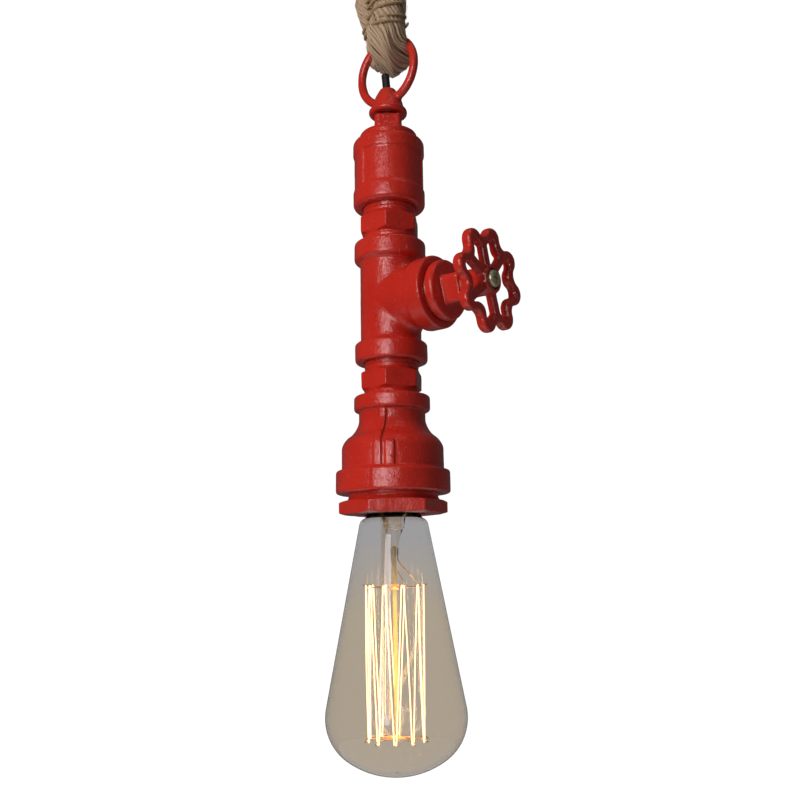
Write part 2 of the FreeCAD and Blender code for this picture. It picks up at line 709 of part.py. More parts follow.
def twine_binding():
    low = Z_SWING + TWINE_START
    edges = []
    place, heading, _ = twine_point(0, low)
    edges.append(line(place - heading * 2 * TWINE_RADIUS, place))
    straight_next = False
    for quarter in range(1, 6 * TWINE_TURNS + 3):
        there, next_heading, straight_after = twine_point(quarter, low)
        if straight_next:
            edges.append(line(place, there))
        else:
            edges.extend(biarc(place, heading, there, next_heading))
        place, heading, straight_next = there, next_heading, straight_after
    edges.append(line(place, place + heading * 2 * TWINE_RADIUS))
    solid, expected = swept(edges, TWINE_RADIUS)
    samples = Part.Wire(edges).discretize(Distance=0.5)
    loop_count = int(4 * ROPE_RADIUS)
    least = min(samples[i].distanceToPoint(samples[j]) - 2 * TWINE_RADIUS
                for i in range(0, len(samples), 3) for j in range(i + loop_count, len(samples)))
    print("twine turns %.2f" % (TWINE_TURNS + 1 / 3), "length %.0f" % Part.Wire(edges).Length,
          "least gap to itself %.2f" % least, "volume ratio %.4f" % (solid.Volume / expected))
    return solid


def rose_cable():
    level = -BAR_THICK - TERMINAL_HEIGHT / 2
    start = Vector(0, 0, ROPE_TOP)
    reach = TERMINAL_OFFSET + TERMINAL_CABLE_ENTRY - ROSE_CABLE_SHORT
    return cord("rose cable", [start, Vector(0, 0, level), Vector(reach, 0, level)], CABLE_RADIUS)


def feed_cable():
    top = bight_height() - BIGHT_RADIUS - ROPE_RADIUS - CABLE_TOP_GAP
    return rod(CABLE_RADIUS, Z_CABLE_LOW, top)


def lamp_eye():
    foot = Z_EYE_FOOT
    rim = EYE_FOOT_RADIUS
    top = foot + EYE_DOME_HEIGHT
    dome = lathe((0, foot), (rim - 1.6, foot),
                 ((rim, foot + EYE_FOOT_HEIGHT / 2), (rim - 1.5, foot + EYE_FOOT_HEIGHT)),
                 ((rim - 2.9, foot + 0.6 * EYE_DOME_HEIGHT), (EYE_DOME_TOP_RADIUS, top)), (0, top))
    loop = Part.makeTorus(RING_RADIUS, RING_WIRE, Vector(0, 0, Z_RING), Vector(0, 1, 0))
    eye = loop.fuse(dome)
    seams = [edge for edge in eye.Edges if not isinstance(edge.Curve, (Part.Circle, Part.Line))]
    eye = eye.makeFillet(EYE_WEB_ROUND, seams)
    eye = eye.cut(rod(WIREWAY_RADIUS, foot - 1, top + 1))
    return eye.cut(rod(TUBE_RADIUS + RUN_FIT, foot - 1, Z_TUBE_TOP))


def threaded_tube():
    return ring(TUBE_RADIUS, TUBE_BORE, Z_TUBE_LOW, Z_TUBE_TOP)


def tube_lock_nut():
    nut = hexagon(LOCK_NUT_FLATS, Z_NUT_LOW, Z_PLUG_LOW, 0, 0.6)
    return nut.cut(rod(TUBE_RADIUS + RUN_FIT, Z_NUT_LOW - 1, Z_PLUG_LOW + 1))


def cord_grip():
    body = lathe((0, Z_GRIP_LOW), (GRIP_RADIUS - 2, Z_GRIP_LOW), (GRIP_RADIUS, Z_GRIP_LOW + 2),
                 (GRIP_RADIUS, Z_NUT_LOW), (0, Z_NUT_LOW))
    body = body.cut(rod(CABLE_RADIUS + RUN_FIT, Z_GRIP_LOW - 1, Z_NUT_LOW + 1))
    body = body.cut(rod(TUBE_RADIUS + RUN_FIT, Z_TUBE_LOW, Z_NUT_LOW + 1))
    screw_way = Part.makeCylinder(GRIP_SCREW_RADIUS + RUN_FIT, GRIP_RADIUS + 1,
                                  Vector(0, 0, (Z_GRIP_LOW + Z_TUBE_LOW) / 2), Vector(0, 1, 0))
    return body.cut(screw_way)


def cord_grip_screw():
    level = (Z_GRIP_LOW + Z_TUBE_LOW) / 2
    seat = Vector(0, CABLE_RADIUS + RUN_FIT, level)
    screw = Part.makeCylinder(GRIP_SCREW_RADIUS, GRIP_RADIUS - CABLE_RADIUS + 0.6, seat, Vector(0, 1, 0))
    slot = block(2 * GRIP_SCREW_RADIUS, 2, level - 0.35, level + 0.35, 0, GRIP_RADIUS + 0.6)
    return screw.cut(slot)


def beaded_plug(head_turn):
    """Plug with a bead and a square head, seated at z = 0 with its thread below."""
    thread = lathe((0, -PLUG_ENTRY), (THREAD_RADIUS - 1, -PLUG_ENTRY), (THREAD_RADIUS, -PLUG_ENTRY + 1),
                   (THREAD_RADIUS, 0), (0, 0))
    bead = soften(rod(BEAD_RADIUS, 0, BEAD_HEIGHT), BEAD_ROUND, (BEAD_RADIUS, BEAD_HEIGHT))
    squares = []
    for z, width in ((BEAD_HEIGHT - 0.5, HEAD_WIDTH), (BEAD_HEIGHT + HEAD_HEIGHT, HEAD_WIDTH - HEAD_TAPER)):
        half = width / 2
        corners = [Vector(x * half, y * half, z) for x, y in ((1, 1), (-1, 1), (-1, -1), (1, -1), (1, 1))]
        squares.append(Part.makePolygon(corners))
    head = Part.makeLoft(squares, True, True)
    upright = [edge for edge in head.Edges if abs(edge.tangentAt(edge.FirstParameter).z) > 0.9]
    head = head.makeFillet(HEAD_ROUND, upright)
    top = [edge for edge in head.Edges if edge.CenterOfMass.z > BEAD_HEIGHT + HEAD_HEIGHT - 0.01]
    head = head.makeChamfer(0.7, top)
    return turned(thread.fuse(bead).fuse(head), head_turn).removeSplitter()


def top_plug():
    tube_way = rod(TUBE_RADIUS + RUN_FIT, -PLUG_ENTRY - 1, BEAD_HEIGHT + HEAD_HEIGHT + 1)
    plug = beaded_plug(TOP_HEAD_TURN).cut(tube_way)
    plug.translate(Vector(0, 0, Z_COUPLING_TOP))
    return plug


def branch_plug():
    plug = beaded_plug(BRANCH_HEAD_TURN)
    plug = plug.cut(thread_grooves(THREAD_RADIUS, THREAD_PITCH, -BRANCH_THREAD_GAP, 0))
    end = BEAD_HEIGHT + HEAD_HEIGHT
    plug = plug.cut(rod(WHEEL_SCREW_RADIUS + RUN_FIT, end - WHEEL_SCREW_ENTRY - 1, end + 1))
    return on_branch(plug, X_BEAD)


def pipe_coupling():
    low = Z_COUPLING_LOW
    top = Z_COUPLING_TOP
    body_r = COUPLING_BODY_RADIUS
    band_r = COUPLING_BAND_RADIUS
    body = lathe((SOCKET_RADIUS, low), (band_r, low), (band_r, low + COUPLING_LOW_BAND),
                 (body_r, low + COUPLING_LOW_BAND + COUPLING_BLEND),
                 (body_r, top - COUPLING_TOP_BAND - COUPLING_BLEND),
                 (band_r, top - COUPLING_TOP_BAND), (band_r, top), (SOCKET_RADIUS, top))
    body = soften(body, COUPLING_ROUND, (band_r, low), (band_r, top))
    for angle in COUPLING_RIB_TURNS:
        rib = block(2.0, RIB_WIDTH, low + COUPLING_LOW_BAND - 1, top - COUPLING_TOP_BAND + 1, band_r - 1.0)
        body = body.fuse(turned(rib, angle))
    return body.removeSplitter()


def hex_nipple(hex_low, hex_top, above, below, turn):
    """Hexagon nipple with exposed thread above and below the hexagon and its ends in the neighbours."""
    low = hex_low - below - THREAD_ENTRY
    top = hex_top + above + THREAD_ENTRY
    barrel = lathe((0, low), (THREAD_RADIUS - 0.8, low), (THREAD_RADIUS, low + 0.8),
                   (THREAD_RADIUS, top - 0.8), (THREAD_RADIUS - 0.8, top), (0, top))
    for start, end in ((hex_low - below, hex_low), (hex_top, hex_top + above)):
        barrel = barrel.cut(thread_grooves(THREAD_RADIUS, THREAD_PITCH, start, end))
    nipple = barrel.fuse(hexagon(NIPPLE_FLATS, hex_low, hex_top, turn, NIPPLE_CHAMFER))
    return nipple.cut(rod(NIPPLE_BORE, low - 1, top + 1))


def upper_hex_nipple():
    return hex_nipple(Z_UPPER_HEX_LOW, Z_UPPER_HEX_TOP, UPPER_THREAD_ABOVE, UPPER_THREAD_BELOW, UPPER_HEX_TURN)


def lower_hex_nipple():
    return hex_nipple(Z_LOWER_HEX_LOW, Z_LOWER_HEX_TOP, LOWER_THREAD_ABOVE, LOWER_THREAD_BELOW, LOWER_HEX_TURN)


def tee_arm():
    """One arm of the tee from its middle to a banded end, pointing along +Z."""
    arm = lathe((0, 0), (TEE_BODY_RADIUS, 0), (TEE_BODY_RADIUS, TEE_REACH - TEE_BAND - TEE_BLEND),
                (TEE_BAND_RADIUS, TEE_REACH - TEE_BAND), (TEE_BAND_RADIUS, TEE_REACH), (0, TEE_REACH))
    return soften(arm, TEE_ROUND, (TEE_BAND_RADIUS, TEE_REACH))


def tee():
    up = tee_arm()
    down = turned(up, 180, axis=Vector(1, 0, 0))
    side = turned(up, 90, axis=Vector(0, 1, 0))
    outside = up.fuse(down).removeSplitter().fuse(side).removeSplitter()
    crotch = [edge for edge in outside.Edges
              if not isinstance(edge.Curve, (Part.Circle, Part.Line))
              and edge.CenterOfMass.x > TEE_BODY_RADIUS / 4]
    outside = outside.makeFillet(TEE_CROTCH * TEE_CROTCH_SHARE, crotch)
    ways = rod(TEE_WATERWAY, -TEE_REACH, TEE_REACH)
    sockets = [rod(SOCKET_RADIUS, TEE_REACH - TEE_SOCKET, TEE_REACH + 1),
               rod(SOCKET_RADIUS, -TEE_REACH - 1, -TEE_REACH + TEE_SOCKET)]
    branch_way = turned(rod(TEE_WATERWAY, 0, TEE_REACH), 90, axis=Vector(0, 1, 0))
    branch_socket = turned(sockets[0], 90, axis=Vector(0, 1, 0))
    body = outside.cut(ways.multiFuse(sockets + [branch_way, branch_socket]))
    body.translate(Vector(0, 0, Z_BRANCH))
    return body


def scalloped(tip, valley, lobe):
    """Closed wavy outline of equal lobes: arcs of the lobe radius tangent to arcs that pass the valleys."""
    lobe_at = tip - lobe
    half = math.pi / WHEEL_LOBES
    swing = 2 * valley - 2 * lobe_at * math.cos(half) - 2 * lobe
    dip = (lobe ** 2 - lobe_at ** 2 - valley ** 2 + 2 * valley * lobe_at * math.cos(half)) / swing
    dip_at = valley + dip

    def polar(radius, angle):
        return Vector(radius * math.cos(angle), radius * math.sin(angle), 0)

    edges = []
    for k in range(WHEEL_LOBES):
        angle = math.radians(WHEEL_LOBE_TURN) + 2 * half * k
        centre = polar(lobe_at, angle)
        touch = []
        for side in (-1, 1):
            dip_centre = polar(dip_at, angle + side * half)
            touch.append(centre + (dip_centre - centre).normalize() * lobe)
        after = polar(lobe_at, angle + 2 * half)
        next_dip = polar(dip_at, angle + half)
        next_touch = after + (next_dip - after).normalize() * lobe
        edges.append(arc(touch[0], polar(tip, angle), touch[1]))
        edges.append(arc(touch[1], polar(valley, angle + half), next_touch))
    return Part.Wire(edges)


def handwheel():
    """Wheel about Z with its outer face at z = 0, then carried onto the branch."""
    outer = Part.Face(scalloped(WHEEL_TIP_RADIUS, WHEEL_VALLEY_RADIUS, WHEEL_LOBE_RADIUS))
    inner = Part.Face(scalloped(WHEEL_INNER_TIP, WHEEL_INNER_VALLEY, WHEEL_INNER_LOBE))
    rim = outer.cut(inner).extrude(Vector(0, 0, WHEEL_RIM_DEPTH))
    flat_edges = [edge for edge in rim.Edges
                  if abs(edge.tangentAt(edge.FirstParameter).z) < 0.1]
    rim = rim.makeFillet(WHEEL_RIM_ROUND, flat_edges)
    hub_low = WHEEL_RIM_STEP + WHEEL_RIM_DEPTH - HUB_DEPTH
    hub_top = WHEEL_RIM_STEP + WHEEL_RIM_DEPTH
    hub = soften(rod(HUB_RADIUS, hub_low, hub_top), HUB_ROUND, (HUB_RADIUS, hub_top), (HUB_RADIUS, hub_low))
    wheel = rim.fuse(hub)
    spoke_middle = WHEEL_RIM_DEPTH / 2
    for angle in SPOKE_TURNS:
        reach = (WHEEL_INNER_TIP + WHEEL_VALLEY_RADIUS) / 2
        spoke = block(reach - HUB_RADIUS / 2, SPOKE_WIDTH, spoke_middle - SPOKE_DEPTH / 2,
                      spoke_middle + SPOKE_DEPTH / 2, (reach + HUB_RADIUS / 2) / 2)
        long_edges = [edge for edge in spoke.Edges if abs(edge.tangentAt(edge.FirstParameter).x) > 0.9]
        wheel = wheel.fuse(turned(spoke.makeFillet(SPOKE_ROUND, long_edges), angle))
    wheel = wheel.cut(rod(WHEEL_BUSH_RADIUS + RUN_FIT, hub_low - 1, hub_top + 1))
    wheel = wheel.cut(rod(HUB_RECESS_RADIUS, hub_top - HUB_RECESS, hub_top + 1))
    return on_branch(wheel, X_HEAD_END + BACK_WASHER + WHEEL_PLAY - hub_low)


def hub_end():
    return X_HEAD_END + BACK_WASHER + WHEEL_PLAY + HUB_DEPTH


def bush_end():
    return hub_end() - HUB_RECESS + WHEEL_PLAY


def wheel_bush():
    return on_branch(ring(WHEEL_BUSH_RADIUS, WHEEL_BUSH_BORE, X_HEAD_END, bush_end()))


def wheel_back_washer():
    washer = ring(BACK_WASHER_RADIUS, WHEEL_BUSH_RADIUS + RUN_FIT, 0, BACK_WASHER)
    return on_branch(washer, X_HEAD_END)


def wheel_front_washer():
    return on_branch(ring(FRONT_WASHER_RADIUS, WHEEL_BUSH_BORE, bush_end(), bush_end() + FRONT_WASHER))


def handwheel_screw():
    seat = bush_end() + FRONT_WASHER
    shank = rod(WHEEL_SCREW_RADIUS, X_HEAD_END - WHEEL_SCREW_ENTRY, seat)
    head = soften(rod(WHEEL_SCREW_HEAD_RADIUS, seat, seat + WHEEL_SCREW_HEAD), 1.4,
                  (WHEEL_SCREW_HEAD_RADIUS, seat + WHEEL_SCREW_HEAD))
    screw = shank.fuse(head)
    top = seat + WHEEL_SCREW_HEAD
    for x_size, y_size in ((2 * CROSS_REACH, CROSS_WIDTH), (CROSS_WIDTH, 2 * CROSS_REACH)):
        screw = screw.cut(block(x_size, y_size, top - CROSS_DEPTH, top + 1))
    return on_branch(screw)


def reducer_mismatch():
    """Low band's stretch that stands proud from the rib's left edge on, where the mould halves met."""
    inset = REDUCER_MISMATCH_INSET
    radius = REDUCER_LOW_BAND_RADIUS - inset
    low = Z_REDUCER_LOW + inset
    high = Z_REDUCER_LOW + REDUCER_LOW_BAND - inset
    band = soften(rod(radius, low, high), REDUCER_BAND_ROUND, (radius, low), (radius, high))
    band = band.cut(rod(REDUCER_BELL_RADIUS + REDUCER_BAND_ROUND, low - 1, high + 1))
    band.translate(Vector(REDUCER_MISMATCH + inset, 0, 0))
    quarter = band.common(block(2 * radius, 2 * radius, low, high, radius, radius))
    left_edge = math.degrees(math.asin((REDUCER_RIB_WIDTH / 2 + inset) / REDUCER_BELL_RADIUS))
    return turned(quarter, REDUCER_RIB_TURN - left_edge)


def reducing_socket():
    top = Z_REDUCER_TOP
    low = Z_REDUCER_LOW
    neck = REDUCER_NECK_RADIUS
    bell = REDUCER_BELL_RADIUS
    neck_low = top - REDUCER_NECK_DROP
    bell_top = top - REDUCER_BELL_DROP
    mid_r = (neck + bell) / 2
    mid_z = (neck_low + bell_top) / 2
    low_band = low + REDUCER_LOW_BAND
    low_r = REDUCER_LOW_BAND_RADIUS
    top_r = REDUCER_TOP_BAND_RADIUS
    top_band = top - REDUCER_TOP_BAND
    outside = lathe((0, low), (low_r, low), (low_r, low_band), (bell, low_band),
                    (bell, bell_top - 1.5), ((bell - 0.9, bell_top + 1.0), (mid_r, mid_z)),
                    ((neck + 0.9, neck_low + 0.2), (neck, neck_low + 3.0)),
                    (neck, top_band), (top_r, top_band), (top_r, top), (0, top))
    outside = soften(outside, REDUCER_BAND_ROUND, (low_r, low), (low_r, low_band), (top_r, top_band),
                     (top_r, top))
    outside = soften(outside, REDUCER_CORNER_ROUND, (bell, low_band), (neck, top_band))
    rise = REDUCER_RIB_RISE
    rib = lathe((0, low_band - 1), (bell + rise, low_band - 1), (bell + rise, bell_top - 1.5),
                ((bell + rise - 0.7, bell_top + 1.3), (mid_r + rise, mid_z + rise)),
                ((neck + rise + 0.9, neck_low + rise + 0.2), (neck + rise, neck_low + 3.0 + rise)),
                (neck + rise, top_band + 1), (0, top_band + 1))
    long_slab = turned(block(2 * bell, REDUCER_RIB_WIDTH, low, top, bell), REDUCER_RIB_TURN)
    short_slab = turned(block(2 * bell, REDUCER_BOSS_WIDTH, low, bell_top, bell), REDUCER_BOSS_TURN)
    body = outside.fuse(rib.common(long_slab)).fuse(rib.common(short_slab)).fuse(reducer_mismatch())
    ceiling = Z_HOLDER_RING_TOP
    seat = top - THREAD_ENTRY - 0.5
    cavity = lathe((0, low - 1), (BIG_SOCKET_RADIUS, low - 1), (BIG_SOCKET_RADIUS, ceiling),
                   (bell - REDUCER_BELL_WALL, ceiling), (REDUCER_NECK_BORE, neck_low),
                   (REDUCER_NECK_BORE, seat), (SOCKET_RADIUS, seat), (SOCKET_RADIUS, top + 1), (0, top + 1))
    return body.cut(cavity)


def hex_bushing():
    low = Z_MOUTH
    hex_part = hexagon(BUSHING_FLATS, low, Z_BUSHING_HEX_TOP, BUSHING_TURN, NIPPLE_CHAMFER)
    barrel = lathe((0, low), (BIG_THREAD_RADIUS, low), (BIG_THREAD_RADIUS, Z_BUSHING_TOP - 1),
                   (BIG_THREAD_RADIUS - 1, Z_BUSHING_TOP), (0, Z_BUSHING_TOP))
    barrel = barrel.cut(thread_grooves(BIG_THREAD_RADIUS, BIG_THREAD_PITCH, Z_BUSHING_HEX_TOP, Z_REDUCER_LOW))
    bushing = barrel.fuse(hex_part)
    lip = low + BUSHING_LIP
    bushing = bushing.cut(rod(BUSHING_LIP_RADIUS, low - 1, lip + 1))
    return bushing.cut(rod(HOLDER_RADIUS + RUN_FIT, lip, Z_BUSHING_TOP + 1))


def holder_ring():
    return ring(BIG_THREAD_RADIUS, HOLDER_BOSS_RADIUS + HOLDER_RING_GAP, Z_HOLDER_FLANGE_TOP, Z_HOLDER_RING_TOP)


def lampholder_body():
    low = Z_MOUTH + HOLDER_RECESS
    body = lathe((SHELL_RADIUS + RUN_FIT, low), (HOLDER_RADIUS, low), (HOLDER_RADIUS, Z_BUSHING_TOP),
                 (HOLDER_FLANGE_RADIUS, Z_BUSHING_TOP), (HOLDER_FLANGE_RADIUS, Z_HOLDER_FLANGE_TOP),
                 (HOLDER_BOSS_RADIUS, Z_HOLDER_FLANGE_TOP), (HOLDER_BOSS_RADIUS, Z_HOLDER_TOP - 1),
                 (HOLDER_BOSS_RADIUS - 1, Z_HOLDER_TOP), (0, Z_HOLDER_TOP), (0, Z_HOLDER_FLOOR),
                 (SHELL_RADIUS + RUN_FIT, Z_HOLDER_FLOOR))
    for x in (0, -TERMINAL_POST_OFFSET):
        body = body.cut(rod(RIVET_RADIUS + RUN_FIT, Z_HOLDER_FLOOR - 1, Z_HOLDER_TOP + 1, x))
    return body


def clamp_level():
    return Z_HOLDER_TOP + TERMINAL_POST_HEIGHT - CLAMP_SCREW_DROP


def terminal_post(x):
    """Brass post on the porcelain with a wire hole in its top and a clamp screw in its side."""
    low = Z_HOLDER_TOP
    high = low + TERMINAL_POST_HEIGHT
    post = rod(TERMINAL_POST_RADIUS, low, high, x)
    side = math.copysign(1, x)
    wire_x = x - side * TERMINAL_WIRE_SHIFT
    post = post.cut(rod(CONDUCTOR_RADIUS + RUN_FIT, low + TERMINAL_WIRE_FLOOR, high + 1, wire_x))
    clamp_way = Part.makeCylinder(CLAMP_SCREW_RADIUS + RUN_FIT, TERMINAL_POST_RADIUS,
                                  Vector(wire_x, 0, clamp_level()), Vector(0, -1, 0))
    return post.cut(clamp_way)


def lampholder_shell():
    low = Z_MOUTH + HOLDER_RECESS + SHELL_LIP
    shell = ring(SHELL_RADIUS, SHELL_RADIUS - SHELL_WALL, low, Z_HOLDER_FLOOR)
    roof = ring(SHELL_RADIUS, CONTACT_RADIUS + 2, Z_HOLDER_FLOOR - SHELL_ROOF, Z_HOLDER_FLOOR)
    rivet = rod(RIVET_RADIUS, Z_HOLDER_FLOOR - SHELL_ROOF / 2, Z_HOLDER_TOP + 0.5, -TERMINAL_POST_OFFSET)
    return shell.fuse(roof).fuse(rivet).fuse(terminal_post(-TERMINAL_POST_OFFSET)).removeSplitter()


def lampholder_contact():
    tip = Z_MOUTH + BULB_NECK_TOP + CAP_HEIGHT + CAP_INSULATOR + CAP_CONTACT + CAP_CLEARANCE
    flange_low = Z_HOLDER_FLOOR - CONTACT_FLANGE
    button = lathe((0, tip), (CONTACT_TIP_RADIUS, tip), (CONTACT_RADIUS - 0.6, flange_low),
                   (CONTACT_RADIUS, flange_low), (CONTACT_RADIUS, Z_HOLDER_FLOOR), (0, Z_HOLDER_FLOOR))
    rivet = rod(RIVET_RADIUS, Z_HOLDER_FLOOR - CONTACT_FLANGE / 2, Z_HOLDER_TOP + CONTACT_FLANGE / 2)
    strap = block(TERMINAL_POST_OFFSET, CONTACT_STRAP_WIDTH, Z_HOLDER_TOP, Z_HOLDER_TOP + CONTACT_FLANGE,
                  TERMINAL_POST_OFFSET / 2)
    return button.fuse(rivet).fuse(strap).fuse(terminal_post(TERMINAL_POST_OFFSET)).removeSplitter()


def lampholder_terminal_screws():
    screws = []
    for side in (-1, 1):
        seat = Vector(side * (TERMINAL_POST_OFFSET - TERMINAL_WIRE_SHIFT), -CONDUCTOR_RADIUS - RUN_FIT,
                      clamp_level())
        screws.append(Part.makeCylinder(CLAMP_SCREW_RADIUS, TERMINAL_POST_RADIUS, seat, Vector(0, -1, 0)))
    return Part.makeCompound(screws)


def conductor(side, name):
    """Wire from the cable's end down the middle of the fittings to a terminal post."""
    start_x = side * CONDUCTOR_OFFSET
    end_x = side * (TERMINAL_POST_OFFSET - TERMINAL_WIRE_SHIFT)
    low = Z_HOLDER_TOP + TERMINAL_WIRE_FLOOR
    upper_x, upper_y, upper_drop = CONDUCTOR_UPPER_BEND
    lower_x, lower_y, lower_rise = CONDUCTOR_LOWER_BEND
    points = [Vector(start_x, 0, Z_CABLE_LOW), Vector(start_x, 0, Z_CABLE_LOW - CONDUCTOR_STRAIGHT),
              Vector(side * upper_x, side * upper_y, Z_CABLE_LOW - upper_drop),
              Vector(side * lower_x, side * lower_y, low + lower_rise),
              Vector(end_x, 0, low + CONDUCTOR_END_RUN), Vector(end_x, 0, low)]
    return cord(name, points, CONDUCTOR_RADIUS)


def conductor_live():
    return conductor(1, "live conductor")


def conductor_neutral():
    return conductor(-1, "neutral conductor")


def bulb_outline(inset):
    """Solid of the bulb's outer shape, drawn in by the given amount."""
    widest = Z_MOUTH - BULB_WIDEST
    side = BULB_SIDE_ROUND
    side_at = BULB_RADIUS - side
    depth = BULB_HALF_DEPTH
    bottom = (side_at ** 2 + depth ** 2 - side ** 2) / (2 * (depth - side))
    centre_z = widest - depth + bottom
    join = math.atan2(centre_z - widest, side_at)
    side -= inset
    bottom -= inset
    lean = math.radians(BULB_CONE_ANGLE)
    cone_low = (side_at + side * math.cos(lean), widest + side * math.sin(lean))
    shoulder = Z_MOUTH - BULB_SHOULDER
    cone_top = (cone_low[0] - (shoulder - cone_low[1]) * math.tan(lean), shoulder)
    neck = (BULB_NECK_RADIUS - inset, Z_MOUTH - BULB_NECK_DROP)
    run = cone_top[0] - neck[0]
    drop = neck[1] - cone_top[1]
    bulge = BULB_NECK_BULGE / math.hypot(run, drop)
    neck_mid = ((cone_top[0] + neck[0]) / 2 + drop * bulge, (cone_top[1] + neck[1]) / 2 + run * bulge)
    collar = BULB_COLLAR_RADIUS - inset
    touch = (side_at + side * math.cos(join), widest - side * math.sin(join))
    half_open = (math.pi / 2 - join) / 2
    low_mid = (bottom * math.sin(half_open), centre_z - bottom * math.cos(half_open))
    side_mid = (side_at + side * math.cos(join / 2), widest - side * math.sin(join / 2))
    return lathe((0, centre_z - bottom), (low_mid, touch), (side_mid, (side_at + side, widest)),
                 ((side_at + side * math.cos(lean / 2), widest + side * math.sin(lean / 2)), cone_low),
                 cone_top, (neck_mid, neck), (collar, Z_MOUTH + BULB_NECK_TOP), (collar, Z_MOUTH + BULB_COLLAR),
                 (0, Z_MOUTH + BULB_COLLAR))


def bulb_glass():
    glass = bulb_outline(0).cut(bulb_outline(GLASS_WALL))
    bore = rod(BULB_COLLAR_RADIUS - GLASS_WALL, Z_MOUTH, Z_MOUTH + BULB_COLLAR + 1)
    return glass.cut(bore)


def cap_top():
    return Z_MOUTH + BULB_NECK_TOP + CAP_HEIGHT


def bulb_cap():
    low = Z_MOUTH + BULB_NECK_TOP
    inner = CAP_RADIUS - CAP_WALL
    chamfer_low = cap_top() - CAP_CHAMFER
    return lathe((inner, low), (CAP_RADIUS, low), (CAP_RADIUS, chamfer_low),
                 (CAP_RADIUS - CAP_CHAMFER, cap_top()), (inner - CAP_CHAMFER, cap_top()),
                 (inner, chamfer_low - 0.4 * CAP_WALL))


def cap_insulator():
    wide = CAP_RADIUS - CAP_CHAMFER - CAP_WALL - RUN_FIT
    low = cap_top() - CAP_INSULATOR_SUNK
    high = cap_top() + CAP_INSULATOR
    return lathe((CAP_INSULATOR_BORE, low), (wide, low), (wide, cap_top()),
                 (CAP_CONTACT_RADIUS + CAP_INSULATOR_BORE, high), (CAP_INSULATOR_BORE, high))


def cap_contact():
    low = cap_top() + CAP_INSULATOR
    high = low + CAP_CONTACT
    return soften(rod(CAP_CONTACT_RADIUS, low, high), CAP_CONTACT_ROUND, (CAP_CONTACT_RADIUS, high))


def bulb_stem():
    low = Z_MOUTH - STEM_PRESS_DEPTH
    throat = Z_MOUTH - STEM_THROAT_DEPTH
    flare = Z_MOUTH + BULB_COLLAR
    outer = BULB_COLLAR_RADIUS - GLASS_WALL - RUN_FIT
    funnel = lathe((0, low), (STEM_PRESS_RADIUS, low), (STEM_PRESS_RADIUS, low + STEM_PRESS_HEIGHT),
                   ((STEM_THROAT_RADIUS - 1.2, throat - 2.0), (STEM_THROAT_RADIUS, throat)),
                   ((STEM_THROAT_RADIUS + 1.6, throat + 6.0), (outer, flare - 1.0)), (outer, flare), (0, flare))
    hollow = lathe((0, throat - 1), (STEM_THROAT_RADIUS - 1.2, throat),
                   ((STEM_THROAT_RADIUS + 0.5, throat + 6.5), (outer - 1.4, flare - 0.6)),
                   (outer - 1.4, flare + 1), (0, flare + 1))
    funnel = funnel.cut(hollow)
    for x, y in lead_places():
        funnel = funnel.cut(rod(SUPPORT_WIRE + RUN_FIT, low - 1, flare, x, y))
    funnel = funnel.cut(rod(SUPPORT_ROD_RADIUS + RUN_FIT, low - 1, low + STEM_ROD_ENTRY))
    return funnel.cut(exhaust_solid(EXHAUST_RADIUS + RUN_FIT))


def exhaust_centre():
    angle = math.radians(EXHAUST_TURN)
    return EXHAUST_OFFSET * math.cos(angle), EXHAUST_OFFSET * math.sin(angle)


def exhaust_solid(radius):
    x, y = exhaust_centre()
    return rod(radius, Z_MOUTH - EXHAUST_DEPTH, Z_MOUTH + EXHAUST_TOP, x, y)


def exhaust_tube():
    x, y = exhaust_centre()
    low = Z_MOUTH - EXHAUST_DEPTH
    tube = exhaust_solid(EXHAUST_RADIUS)
    tip = [edge for edge in tube.Edges if abs(edge.CenterOfMass.z - low) < 0.01]
    tube = tube.makeFillet(EXHAUST_RADIUS - 0.1, tip)
    tube = tube.cut(rod(EXHAUST_RADIUS - EXHAUST_WALL, low + EXHAUST_RADIUS, Z_MOUTH + EXHAUST_TOP + 1, x, y))
    for turn in upper_hook_turns():
        start = cage_point(turn, 0, UPPER_SUPPORT_DEPTH)
        way = cage_point(turn, SUPPORT_REACH, UPPER_SUPPORT_DEPTH) - start
        tube = tube.cut(Part.makeCylinder(SUPPORT_WIRE + RUN_FIT, SUPPORT_REACH - HOOK_REACH, start, way))
    return tube


def lead_places():
    """Where the two leads leave the stem, on either side of the support rod."""
    angle = math.radians(FILAMENT_FACE + 90)
    return [(side * LEAD_OFFSET * math.cos(angle), side * LEAD_OFFSET * math.sin(angle)) for side in (1, -1)]


def cage_point(turn, radius, depth):
    angle = math.radians(FILAMENT_FACE + turn)
    return Vector(radius * math.cos(angle), radius * math.sin(angle), Z_MOUTH - depth)


def filament_turns():
    return [FILAMENT_FIRST - FILAMENT_STEP / 2 * k for k in range(FILAMENT_LEGS + 1)]


def lead_wires():
    wires = []
    turns = filament_turns()
    for (x, y), turn in zip(lead_places(), (turns[0], turns[-1])):
        end = cage_point(turn, FILAMENT_TOP_RADIUS, UPPER_SUPPORT_DEPTH - 1.5)
        low = Z_MOUTH - STEM_PRESS_DEPTH
        points = [Vector(x, y, low + 3), Vector(x, y, low - 3.0), end]
        wires.append(cord("lead wire", points, SUPPORT_WIRE))
    return Part.makeCompound(wires)


